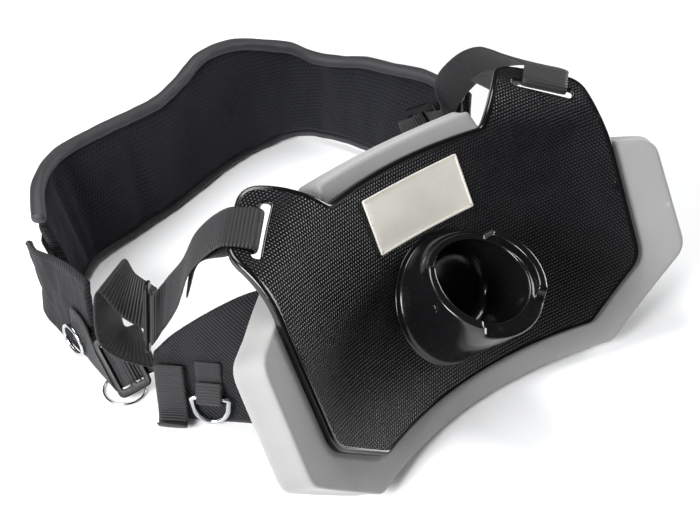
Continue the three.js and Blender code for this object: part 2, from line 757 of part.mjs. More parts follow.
// Webbing over the ears. Rows on the ear give shares of the fold, millimetres out and off its face.
const earPath = [
  { out: 61, lift: -9.3 }, { out: 54, lift: -7.3 }, { out: 47, lift: -5.3 }, { out: 43, lift: -4.8 },
  { out: 40, lift: -3.9 }, { out: 38.4, lift: -1.6 }, { out: 39.3, lift: 0.4 }, { out: 42, lift: 1.5 },
  { out: 48, lift: 1.6 }, { out: 55, lift: 1.6 }, { out: 62, lift: 1.6 },
];
const strapPaths = {
  left: {
    side: -1,
    back: [
      { x: 0.84, y: 0.375, z: 1.1, wx: 0.58, wy: -0.58, wz: -0.5 },
      { x: 0.81, y: 0.345, z: 1.36, wx: 0.7, wy: -0.68, wz: -0.15 },
    ],
    front: [
      { x: 0.852, y: 0.342, z: 1.35, wx: 0.7, wy: -0.68, wz: -0.25 },
      { x: 0.892, y: 0.37, z: 1.08, wx: 0.58, wy: -0.58, wz: -0.5 },
      { x: 0.925, y: 0.403, z: 0.88, wx: 0.45, wy: -0.48, wz: -0.75 },
    ],
    upper: { x: 0.955, y: 0.445, z: 0.72, lx: 0.36, ly: -0.43, lz: -0.83, rx: -0.45, ry: 0.66, rz: -0.56 },
    loop: [
      { x: 0.945, y: 0.515, z: 0.72, wx: 0.6, wy: -0.45, wz: -0.6 },
      { x: 0.985, y: 0.54, z: 0.87, wx: 0.92, wy: -0.38, wz: -0.08 },
      { x: 1.03, y: 0.525, z: 0.72, wx: 0.92, wy: -0.38, wz: 0 },
      { x: 1.035, y: 0.515, z: 0.46, wx: 0.8, wy: -0.5, wz: 0.25 },
    ],
  },
  right: {
    side: 1,
    back: [
      { x: 0.76, y: 0.44, z: 1.22, wx: 0.75, wy: -0.1, wz: -0.6 },
      { x: 0.77, y: 0.37, z: 1.4, wx: 0.75, wy: -0.45, wz: -0.4 },
    ],
    front: [
      { x: 0.805, y: 0.375, z: 1.5, wx: 0.75, wy: -0.4, wz: -0.4 },
      { x: 0.81, y: 0.45, z: 1.4, wx: 0.65, wy: -0.25, wz: -0.65 },
      { x: 0.79, y: 0.515, z: 1.2, wx: 0.5, wy: -0.3, wz: -0.75 },
      { x: 0.765, y: 0.555, z: 0.93, wx: 0.38, wy: -0.4, wz: -0.8 },
    ],
    upper: { x: 0.745, y: 0.585, z: 0.64, lx: 0.3, ly: -0.45, lz: -0.84, rx: -0.1, ry: 0.35, rz: -0.95 },
    loop: [
      { x: 0.79, y: 0.58, z: 0.33, wx: 0.35, wy: -0.5, wz: -0.75 },
      { x: 0.86, y: 0.52, z: 0.3, wx: 0.15, wy: -0.65, wz: -0.7 },
      { x: 0.94, y: 0.5, z: 0.3, wx: 0, wy: -0.7, wz: -0.7 },
    ],
  },
};
const lowerSeat = {
  x: 1.02, y: 0.515, z: 0.23, lx: 0, ly: -0.74, lz: -0.67, rx: 0.75, ry: 0.45, rz: -0.5,
};
// Where the lower strap lies on the outside of a wing: shares of the wing's length and height
const wingStrapSeats = [
  { from: 0.01, share: 0.29, loose: 1.2 }, { from: 0.14, share: 0.33, loose: 0 },
  { from: 0.27, share: 0.36, loose: 0 },
];
const wingRingSeat = { from: 0.22, share: 0.2 };

function addStrap(label, path) {
  const { side } = path;
  const upper = sliderFrame(side, path.upper);
  addPiece(object, `slider_upper_${label}`, makeSlider(upper), 'slider');
  const rows = [
    ...path.back.map((spot) => freeRow(side, spot)),
    ...earPath.map(({ out, lift }) => earRow(side, out, lift)),
    ...path.front.map((spot) => freeRow(side, spot)),
    ...weaveRows(upper),
    ...path.loop.map((spot) => freeRow(side, spot)),
    ...weaveRows(sliderFrame(side, lowerSeat)).slice(0, -1),
  ];
  addPiece(object, `strap_upper_${label}`, band(rows, webWidth, webThickness, 2), 'webbing');
}

Object.entries(strapPaths).forEach(([label, path]) => addStrap(label, path));

// Lower buckles, each with a strap that runs on to the outside of the cloth wing; lift is off its face
function wingRow(label, side, { from, share }, lift) {
  const { foot, head } = wallRows(wingTables[label]);
  const low = foot.getPoint(1 - from);
  const rise = head.getPoint(1 - from).sub(low);
  const ahead = foot.getTangent(1 - from).add(head.getTangent(1 - from));
  const out = new THREE.Vector3().crossVectors(rise, ahead).normalize();
  out.multiplyScalar(Math.sign(out.x) * side);
  const place = low.addScaledVector(rise, share).addScaledVector(out, wingThickness / 2 + lift);
  return { place, wide: rise.normalize().negate(), out };
}

const strapLift = webThickness / 2 + clearance * 2;

function addLowerBuckle(label, side) {
  const frame = sliderFrame(side, lowerSeat);
  addPiece(object, `buckle_lower_${label}`, makeSlider(frame), 'slider');
  const start = frame.centre.clone().addScaledVector(frame.run, sliderShort / 2 + clearance * 2);
  const rows = [
    { place: start, wide: frame.long, out: frame.face },
    ...wingStrapSeats.map((seat) => wingRow(label, side, seat, strapLift + seat.loose)),
  ];
  addPiece(object, `strap_lower_${label}`, twistedBand(rows, webWidth, webThickness, 5), 'webbing');
}

addLowerBuckle('left', -1);
addLowerBuckle('right', 1);

// Webbing round the back of the belt, a steel ring on it, and rings and tabs on the wings
const outerFace = beltThickness / 2 + clearance * 4;
const backWebbing = [
  { side: outerFace, share: 0.36, lift: 0 }, { side: outerFace + webThickness, share: 0.36, lift: 0 },
  { side: outerFace + webThickness, share: 0.36, lift: webWidth },
  { side: outerFace, share: 0.36, lift: webWidth },
];
addPiece(object, 'belt_webbing', wall(beltTable, backWebbing, 3), 'webbing');

// A tab lies on the panel, passes round the flat bar of a ring and comes back over it.
// rise is a share of the webbing's width and off is millimetres off the panel.
const panelRun = new THREE.Vector3(0.688, 0.726, 0);
const tabLoop = [
  { rise: 1.85, off: 3.5 }, { rise: 1.3, off: 3.4 }, { rise: 0.85, off: 3.3 }, { rise: 0.76, off: 4.2 },
  { rise: 0.735, off: 6.6 }, { rise: 0.76, off: 9 }, { rise: 0.85, off: 9.9 }, { rise: 1.05, off: 8.6 },
  { rise: 1.3, off: 5.7 },
];
const tabSeat = { x: 0.852, y: 0.331 };

function addTabRing(label, side) {
  const run = panelRun.clone().multiply(new THREE.Vector3(side, 1, 1));
  const out = new THREE.Vector3(side * panelRun.y, -panelRun.x, 0);
  const foot = new THREE.Vector3(side * tabSeat.x * loopHalfWidth, tabSeat.y * loopDepth, 0);
  const rows = tabLoop.map(({ rise, off }) => row(
    foot.clone().addScaledVector(out, off).setZ(rise * webWidth), run,
  ));
  addPiece(object, `tab_${label}`, band(rows, webWidth * 0.55, webThickness, 2), 'webbing');
  const centre = foot.clone().addScaledVector(out, 6.6);
  const seat = {
    x: centre.x / loopHalfWidth, y: centre.y / loopDepth, z: 0.148, wide: ringWidth, tall: ringHeight,
    ax: run.x, ay: run.y, az: 0, ux: 0, uy: 0, uz: 1,
  };
  const bar = ringShape(seat, deeOutline);
  addPiece(object, `d_ring_${label}`, tube(bar, ringWire / 2, 6, true), 'steel');
}

addTabRing('left', -1);
addTabRing('right', 1);

const thinWire = ringWire * 0.8;
const wingRingSpot = wingRow('left', -1, wingRingSeat, webThickness + clearance * 4 + thinWire / 2);
const looseRings = [
  {
    name: 'ring_wing_left', x: wingRingSpot.place.x / loopHalfWidth, y: wingRingSpot.place.y / loopDepth,
    z: wingRingSpot.place.z / beltTall, ax: 0, ay: 1, az: 0, ux: 0, uy: 0, uz: 1,
    wide: ringWidth, tall: ringHeight, wire: thinWire,
  },
  {
    name: 'ring_belt_back', x: 0.26, y: 1.029, z: 0.9, ax: 1, ay: -0.05, az: 0, ux: 0, uy: 0, uz: 1,
    wide: ringWidth, tall: ringWidth, wire: thinWire,
  },
  {
    name: 'ring_thin', x: -1.03, y: 0.5125, z: 0.0085, ax: 0, ay: 1, az: 0, ux: 1, uy: 0, uz: 0,
    wide: thinRingSize * 1.3, tall: thinRingSize * 1.2, wire: thinRingWire,
  },
];
looseRings.forEach((seat) => {
  addPiece(object, seat.name, tube(ringShape(seat, roundOutline), seat.wire / 2, 6, true), 'steel');
});

// Loose end of the left strap, curled up where it meets the table
const tailPath = [
  { x: 0.975, y: 0.375, z: 0.5, wx: 0.7, wy: 0.7, wz: 0 },
  { x: 0.98, y: 0.371, z: 0.34, wx: 0.7, wy: 0.7, wz: 0 },
  { x: 0.982, y: 0.37, z: 0.18, wx: 0.7, wy: 0.7, wz: 0 },
  { x: 0.987, y: 0.368, z: 0.08, wx: 0.7, wy: 0.7, wz: 0 },
  { x: 1.0, y: 0.361, z: 0.035, wx: 0.7, wy: 0.7, wz: 0 },
  { x: 1.015, y: 0.353, z: 0.09, wx: 0.7, wy: 0.7, wz: 0 },
];
const tailRows = tailPath.map((spot) => freeRow(-1, spot));
addPiece(object, 'strap_tail_left', band(tailRows, webWidth * 0.62, webThickness, 3), 'webbing');

// Origin at the middle of the foot of the whole belt
object.updateMatrixWorld(true);
const bounds = new THREE.Box3().setFromObject(object, true);
const middle = bounds.getCenter(new THREE.Vector3());
object.position.set(-middle.x, -middle.y, -bounds.min.z);

export default object;
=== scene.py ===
"""Fishing fighting belt on a pale table.

A moulded rod plate with a tilted cup and a metal badge stands on a thick foam pad. A padded
waist belt with bound edges, webbing straps, sliders and steel rings lie behind and beside it.
Lengths inside the classes are millimetres in the drawing frame of the belt; to_row() turns
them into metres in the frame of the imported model.
"""

import logging
import math
from dataclasses import dataclass, field
from enum import Enum

import bmesh
import bpy
import numpy as np
from mathutils.geometry import delaunay_2d_cdt
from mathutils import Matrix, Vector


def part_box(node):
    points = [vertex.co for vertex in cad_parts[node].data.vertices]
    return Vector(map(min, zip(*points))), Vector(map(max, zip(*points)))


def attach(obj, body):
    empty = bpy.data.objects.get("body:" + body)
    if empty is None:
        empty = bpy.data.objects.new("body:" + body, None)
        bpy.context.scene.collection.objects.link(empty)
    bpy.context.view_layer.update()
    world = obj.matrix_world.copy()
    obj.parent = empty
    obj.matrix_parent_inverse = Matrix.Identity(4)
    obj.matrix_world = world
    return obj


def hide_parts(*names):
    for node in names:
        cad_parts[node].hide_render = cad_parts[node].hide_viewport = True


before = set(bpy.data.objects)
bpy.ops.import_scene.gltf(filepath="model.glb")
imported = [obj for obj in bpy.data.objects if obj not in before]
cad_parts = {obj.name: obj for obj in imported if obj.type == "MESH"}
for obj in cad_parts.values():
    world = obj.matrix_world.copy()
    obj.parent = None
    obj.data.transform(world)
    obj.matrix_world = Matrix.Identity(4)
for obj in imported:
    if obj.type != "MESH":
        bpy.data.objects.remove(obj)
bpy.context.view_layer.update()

log = logging.getLogger("fighting_belt")
logging.basicConfig(level=logging.INFO, format="%(name)s: %(message)s")

Array = np.ndarray
Face = tuple[int, ...]

# Sizes that several pieces share, in millimetres
SHIFT_Y = -193.9765
LOOP_HALF_WIDTH = 200.0
LOOP_DEPTH = 400.0
BELT_TALL = 125.0
WEB_WIDTH = 36.0
WEB_THICK = 1.8

# Points nearer than this, in metres, become one
WELD = 1e-6


def drawing_shift() -> Array:
    """The drawing frame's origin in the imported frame, in millimetres, read off the plate's box."""
    low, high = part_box("plate")
    return np.array([(low.x + high.x) * 500.0, SHIFT_Y, 0.0])


SHIFT = drawing_shift()


def to_row(points: Array) -> Array:
    """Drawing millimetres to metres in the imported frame."""
    return (np.asarray(points, float) + SHIFT) / 1000.0


def belt_spot(x: float, y: float, z: float) -> Array:
    """A point in millimetres from shares of the belt's half width, depth and height."""
    return np.array([x * LOOP_HALF_WIDTH, y * LOOP_DEPTH, z * BELT_TALL])


def circle(count: int) -> Array:
    """Evenly spaced angles once round, in radians."""
    return 2 * math.pi * np.arange(count) / count


def unit(v: Array) -> Array:
    """Vectors scaled to length one, along the last axis."""
    v = np.asarray(v, float)
    return v / np.maximum(np.linalg.norm(v, axis=-1, keepdims=True), 1e-12)


def smooth_step(low: float, high: float, x: Array) -> Array:
    """0 below low, 1 above high and an S curve between them."""
    t = np.clip((np.asarray(x, float) - low) / (high - low), 0, 1)
    return t * t * (3 - 2 * t)


def spline(points: Array, shares: Array) -> Array:
    """Points on a centripetal curve.

    Args:
        points: the points that the curve passes, one row each.
        shares: places along the curve, 0 at its start and 1 at its end.
    Returns:
        One row for each share.
    """
    points = np.asarray(points, float)
    last = len(points) - 1
    ends = np.vstack([2 * points[0] - points[1], points, 2 * points[-1] - points[-2]])
    spot = np.clip(np.asarray(shares, float), 0, 1) * last
    index = np.minimum(spot.astype(int), last - 1)
    t = (spot - index)[:, None]
    p0, p1, p2, p3 = (ends[index + k] for k in range(4))

    def step(a: Array, b: Array) -> Array:
        """The root of the distance between points."""
        return np.maximum(np.linalg.norm(b - a, axis=1), 1e-6)[:, None] ** 0.5

    d0, d1, d2 = step(p0, p1), step(p1, p2), step(p2, p3)
    m1 = d1 * ((p1 - p0) / d0 - (p2 - p0) / (d0 + d1) + (p2 - p1) / d1)
    m2 = d1 * ((p2 - p1) / d1 - (p3 - p1) / (d1 + d2) + (p3 - p2) / d2)
    c2 = -3 * p1 + 3 * p2 - 2 * m1 - m2
    c3 = 2 * p1 - 2 * p2 + m1 + m2
    return p1 + m1 * t + c2 * t ** 2 + c3 * t ** 3


def lengths_along(line: Array) -> Array:
    """How far along a line each of its points lies."""
    return np.concatenate([[0], np.cumsum(np.linalg.norm(np.diff(line, axis=0), axis=1))])


def interpolated(at: Array, spots: Array, rows: Array) -> Array:
    """Rows read between their spots, column by column."""
    return np.stack([np.interp(at, spots, rows[:, k]) for k in range(rows.shape[1])], 1)


def blurred(values: Array, reach: int) -> Array:
    """A run of vectors averaged over its neighbours, ends kept.

    Args:
        values: the vectors, one row each.
        reach: how many rows the average is spread over.
    Returns:
        One row for each that came in.
    """
    if reach < 1:
        return values
    pad = 3 * reach
    kernel = np.exp(-0.5 * (np.arange(-pad, pad + 1) / reach) ** 2)
    kernel /= kernel.sum()
    first, final = values[0], values[-1]
    longer = np.vstack([2 * first - values[pad:0:-1], values, 2 * final - values[-2:-pad - 2:-1]])
    return np.stack([np.convolve(longer[:, k], kernel, "valid") for k in range(values.shape[1])], 1)


# Mesh helpers

@dataclass
class Surface:
    """Points in drawing millimetres, faces, a material number per face and weave coordinates."""

    points: Array
    faces: list[Face]
    finish: Array
    weave: Array | None = None

    def joined(self, other: "Surface") -> "Surface":
        """This surface and another as one.

        Args:
            other: a surface with weave coordinates, as this one has.
        Returns:
            Both, with the other's faces after this one's.
        """
        start = len(self.points)
        return Surface(
            np.vstack([self.points, other.points]),
            self.faces + [tuple(i + start for i in f) for f in other.faces],
            np.concatenate([self.finish, other.finish]),
            np.vstack([self.weave, other.weave]),
        )

    def plain(self, finish: int) -> "Surface":
        """This surface in one material, without weave coordinates of its own."""
        marks = np.full(len(self.faces), finish)
        return Surface(self.points, self.faces, marks, np.zeros((len(self.points), 2)))


def build_object(name: str, surface: Surface, materials: list[bpy.types.Material]) -> bpy.types.Object:
    """Makes a Blender object of a surface.

    Args:
        name: the piece's name.
        surface: its points and faces.
        materials: Blender materials, in the order that the faces' numbers mean.
    Returns:
        The object, smooth shaded, with its faces turned outwards.
    """
    mesh = bpy.data.meshes.new(name)
    mesh.from_pydata([tuple(p) for p in to_row(surface.points)], [], surface.faces)
    if surface.weave is not None:
        attribute = mesh.attributes.new("weave", "FLOAT_VECTOR", "POINT")
        weave = np.zeros((len(surface.points), 3))
        weave[:, : surface.weave.shape[1]] = surface.weave / 1000.0
        attribute.data.foreach_set("vector", weave.ravel())
    mesh.polygons.foreach_set("material_index", np.asarray(surface.finish, int))
    bm = bmesh.new()
    bm.from_mesh(mesh)
    bmesh.ops.remove_doubles(bm, verts=bm.verts, dist=WELD)
    bmesh.ops.recalc_face_normals(bm, faces=bm.faces)
    bm.to_mesh(mesh)
    bm.free()
    for material in materials:
        mesh.materials.append(material)
    mesh.polygons.foreach_set("use_smooth", [True] * len(mesh.polygons))
    obj = bpy.data.objects.new(name, mesh)
    bpy.context.scene.collection.objects.link(obj)
    return obj


def ring_faces(rows: int, count: int, closed: bool = False) -> list[Face]:
    """Quads between neighbouring rows of a closed section.

    Args:
        rows: how many sections there are.
        count: how many points each has.
        closed: true where the last section meets the first.
    Returns:
        The faces.
    """
    faces = []
    for i in range(rows if closed else rows - 1):
        here, on = i * count, ((i + 1) % rows) * count
        for j in range(count):
            k = (j + 1) % count
            faces.append((here + j, here + k, on + k, on + j))
    return faces


def swept(sections: Array, closed: bool = False, weave: Array | None = None,
          finish: Array | None = None) -> Surface:
    """A closed body of sections.

    Args:
        sections: rows by points by three, in millimetres.
        closed: true where the last section meets the first.
        weave: coordinates for the weave, rows by points by two.
        finish: a material number for each point of the section.
    Returns:
        The surface, with both ends capped where it isn't closed.
    """
    rows, count, _ = sections.shape
    faces = ring_faces(rows, count, closed)
    runs = rows if closed else rows - 1
    numbers = np.zeros(count, int) if finish is None else np.asarray(finish, int)
    marks = np.tile(numbers, runs)
    points = sections.reshape(-1, 3)
    coords = None if weave is None else weave.reshape(-1, 2)
    if not closed:
        hubs = np.vstack([sections[0].mean(0), sections[-1].mean(0)])
        start, end = rows * count, rows * count + 1
        low = (rows - 1) * count
        for j in range(count):
            k = (j + 1) % count
            faces.append((start, k, j))
            faces.append((end, low + j, low + k))
        points = np.vstack([points, hubs])
        marks = np.concatenate([marks, np.repeat(numbers, 2)])
        if coords is not None:
            coords = np.vstack([coords, weave[0].mean(0), weave[-1].mean(0)])
    return Surface(points, faces, marks, coords)


# Closed outlines and pressed sheets

def rounded_outline(corners: list[tuple[float, float, float]], steps: int) -> Array:
    """Corners of (x, y, cut) with each cut replaced by a soft bend.

    Args:
        corners: the corners in order, each with the length that its bend takes from both sides.
        steps: how many edges a bend has.
    Returns:
        The outline's points.
    """
    points = []
    count = len(corners)
    for i, (x, y, cut) in enumerate(corners):
        here = np.array([x, y])
        if not cut:
            points.append(here)
            continue
        back = np.array(corners[i - 1][:2]) - here
        on = np.array(corners[(i + 1) % count][:2]) - here
        reach = min(cut, 0.48 * np.linalg.norm(back), 0.48 * np.linalg.norm(on))
        start, end = here + unit(back) * reach, here + unit(on) * reach
        for t in np.linspace(0, 1, steps + 1):
            points.append((1 - t) ** 2 * start + 2 * t * (1 - t) * here + t ** 2 * end)
    return np.array(points)


def mirrored_outline(half: list[tuple[float, float, float]], foot_bow: float, head_bow: float,
                     steps: int) -> Array:
    """A half outline from foot to head, mirrored, with bowed middle edges.

    Args:
        half: corners of (x, y, cut) on the right side.
        foot_bow: how far the foot's edge bows up.
        head_bow: how far the head's edge bows up.
        steps: how many edges a bend has.
    Returns:
        The whole outline's points.
    """

    def bow(x: float, y: float, rise: float) -> list[tuple[float, float, float]]:
        """Points from left to right on an edge that bows up in its middle."""
        spots = np.linspace(-x, x, 25)[1:-1]
        return [(s, y + rise * (1 - (s / x) ** 2), 0.0) for s in spots]

    foot, head = half[0], half[-1]
    left = [(-x, y, cut) for x, y, cut in reversed(half)]
    across = list(reversed(bow(head[0], head[1], head_bow)))
    return rounded_outline(half + across + left + bow(foot[0], foot[1], foot_bow), steps)


def respaced(outline: Array, step: float) -> Array:
    """A closed outline with its points about a step apart and its bends kept.

    Args:
        outline: the points in order.
        step: the spacing, in millimetres.
    Returns:
        The new points.
    """
    points = []
    for a, b in zip(outline, np.roll(outline, -1, axis=0)):
        count = max(1, int(round(np.linalg.norm(b - a) / step)))
        points.extend(a + (b - a) * k / count for k in range(count))
    kept = [points[0]]
    for p in points[1:]:
        if np.linalg.norm(p - kept[-1]) > step * 0.3:
            kept.append(p)
    if np.linalg.norm(kept[0] - kept[-1]) < step * 0.3:
        kept.pop()
    return np.array(kept)


def inset(outline: Array, amount: float) -> Array:
    """The outline moved inwards, for one that runs counter-clockwise.

    Args:
        outline: the points in order.
        amount: how far it moves, in millimetres.
    Returns:
        The moved points, in the same order.
    """
    before, after = np.roll(outline, 1, axis=0), np.roll(outline, -1, axis=0)
    a, b = unit(outline - before), unit(after - outline)
    side = unit(np.stack([-(a[:, 1] + b[:, 1]), a[:, 0] + b[:, 0]], 1))
    share = np.maximum(0.6, side[:, 0] * -a[:, 1] + side[:, 1] * a[:, 0])
    return outline + side * (amount / share)[:, None]


def inside(points: Array, outline: Array) -> Array:
    """True for each point within the outline.

    Args:
        points: rows of (x, y).
        outline: the closed edge.
    Returns:
        One truth value for each point.
    """
    x, y = points[:, 0][:, None], points[:, 1][:, None]
    x0, y0 = outline[:, 0][None], outline[:, 1][None]
    x1, y1 = np.roll(outline[:, 0], -1)[None], np.roll(outline[:, 1], -1)[None]
    crosses = (y0 > y) != (y1 > y)
    with np.errstate(divide="ignore", invalid="ignore"):
        at = (x1 - x0) * (y - y0) / (y1 - y0) + x0
    return (crosses & (x < at)).sum(1) % 2 == 1


def within(points: Array, outline: Array, holes: list[Array]) -> Array:
    """True for each point within the outline and outside its holes.

    Args:
        points: rows of (x, y).
        outline: the closed edge.
        holes: closed edges within it.
    Returns:
        One truth value for each point.
    """
    keep = inside(points, outline)
    for hole in holes:
        keep &= ~inside(points, hole)
    return keep


def turned(face: Face, start: int) -> Face:
    """A triangle's corners, begun at another one."""
    return face[start], face[(start + 1) % 3], face[(start + 2) % 3]


def edge_owners(faces: list[Face]) -> dict[frozenset, list[int]]:
    """The triangles on each edge.

    Args:
        faces: the triangles.
    Returns:
        The triangles' numbers, by the two ends of the edge.
    """
    owners: dict[frozenset, list[int]] = {}
    for index, face in enumerate(faces):
        for k in range(3):
            owners.setdefault(frozenset(turned(face, k)[:2]), []).append(index)
    return owners


def without_slivers(flat: Array, faces: list[Face], least: float, rounds: int = 8) -> list[Face]:
    """Splits the neighbours of triangles without an area, which lie on straight runs of points.

    Args:
        flat: the points, in millimetres.
        faces: triangles between them.
        least: the smallest area that a triangle keeps, in square millimetres.
        rounds: how often the faces are gone through.
    Returns:
        The new triangles.
    """
    for _ in range(rounds):
        a, b, c = (flat[[f[k] for f in faces]] for k in range(3))
        slim = np.nonzero(0.5 * np.abs(np.cross(b - a, c - a)) < least)[0]
        if not len(slim):
            break
        owners = edge_owners(faces)
        gone: set[int] = set()
        fresh: list[Face] = []
        for index in slim:
            if index in gone:
                continue
            corners = [turned(faces[index], k) for k in range(3)]
            longest = int(np.argmax([np.linalg.norm(flat[p] - flat[q]) for p, q, _ in corners]))
            start, end, middle = corners[longest]
            others = [o for o in owners[frozenset((start, end))] if o != index]
            if others and others[0] in gone:
                continue
            gone.add(index)
            if others:
                gone.add(others[0])
                ways = [turned(faces[others[0]], k) for k in range(3)]
                first, second, top = next(w for w in ways if {w[0], w[1]} == {start, end})
                fresh += [(first, middle, top), (middle, second, top)]
        faces = [f for index, f in enumerate(faces) if index not in gone] + fresh
    return faces


def filled(outline: Array, holes: list[Array], step: float) -> tuple[Array, list[Face]]:
    """Triangles over an outline, even in size, with holes left open.

    Args:
        outline: the closed edge, in millimetres.
        holes: closed edges within it.
        step: about how far apart the points within are.
    Returns:
        The points and the triangles between them.
    """
    low, high = outline.min(0), outline.max(0)
    xs = np.arange(low[0] + step / 2, high[0], step)
    ys = np.arange(low[1] + step / 2, high[1], step * 0.87)
    grid = np.array([(x + (j % 2) * step / 2, y) for j, y in enumerate(ys) for x in xs])
    rim = np.vstack([outline, *holes])
    grid = grid[within(grid, outline, holes)]
    near = np.array([np.min(np.hypot(*(rim - g).T)) for g in grid])
    grid = grid[near > step * 0.55]
    points = np.vstack([rim, grid])
    edges: list[tuple[int, int]] = []
    start = 0
    for loop in [outline, *holes]:
        count = len(loop)
        edges += [(start + i, start + (i + 1) % count) for i in range(count)]
        start += count
    made = delaunay_2d_cdt([tuple(p) for p in points], edges, [], 0, 1e-7)
    flat = np.array([tuple(p) for p in made[0]])
    faces = without_slivers(flat, [tuple(f) for f in made[2]], 1e-3)
    middles = np.array([flat[list(f)].mean(0) for f in faces])
    return flat, [f for f, k in zip(faces, within(middles, outline, holes)) if k]


@dataclass
class PressedSheet:
    """A flat part with a rolled edge and rolled holes, described before it is bent.

    The edge goes from the front's face to the back's as rows of (inset, level), in millimetres,
    and a hole's edge does the same.
    """

    outline: Array
    edge: list[tuple[float, float]]
    holes: list[Array] = field(default_factory=list)
    hole_edge: list[tuple[float, float]] = field(default_factory=list)
    grid: float = 5.0
    field_finish: int = 0
    edge_finish: int = 1

    def surface(self) -> Surface:
        """Front, back and edges as one surface of (across, up, level)."""
        parts = []
        for place, turn in ((0, 1), (-1, -1)):
            away, level = self.edge[place]
            holes = []
            if self.holes:
                hole_away = self.hole_edge[place][0]
                holes = [inset(hole, -hole_away) for hole in self.holes]
            flat, faces = filled(inset(self.outline, away), holes, self.grid)
            points = np.column_stack([flat, np.full(len(flat), level)])
            parts.append(Surface(points, [f[::turn] for f in faces],
                                 np.full(len(faces), self.field_finish), flat))
        loops = [(self.outline, self.edge, 1.0)] + [(h, self.hole_edge, -1.0) for h in self.holes]
        for loop, rows, way in loops:
            rings = [np.column_stack([inset(loop, way * away), np.full(len(loop), level)])
                     for away, level in rows]
            stack = np.array(rings)
            faces = ring_faces(len(rows), len(loop))
            parts.append(Surface(stack.reshape(-1, 3), faces,
                                 np.full(len(faces), self.edge_finish), stack[..., :2].reshape(-1, 2)))
        whole = parts[0]
        for part in parts[1:]:
            whole = whole.joined(part)
        return whole


# Finishes

Colour = tuple[float, float, float]
Socket = bpy.types.NodeSocket
RANGE_INPUTS = ("From Min", "From Max", "To Min", "To Max")


def shade(colour: Colour, share: float) -> Colour:
    """A colour made darker or lighter."""
    return tuple(c * share for c in colour)


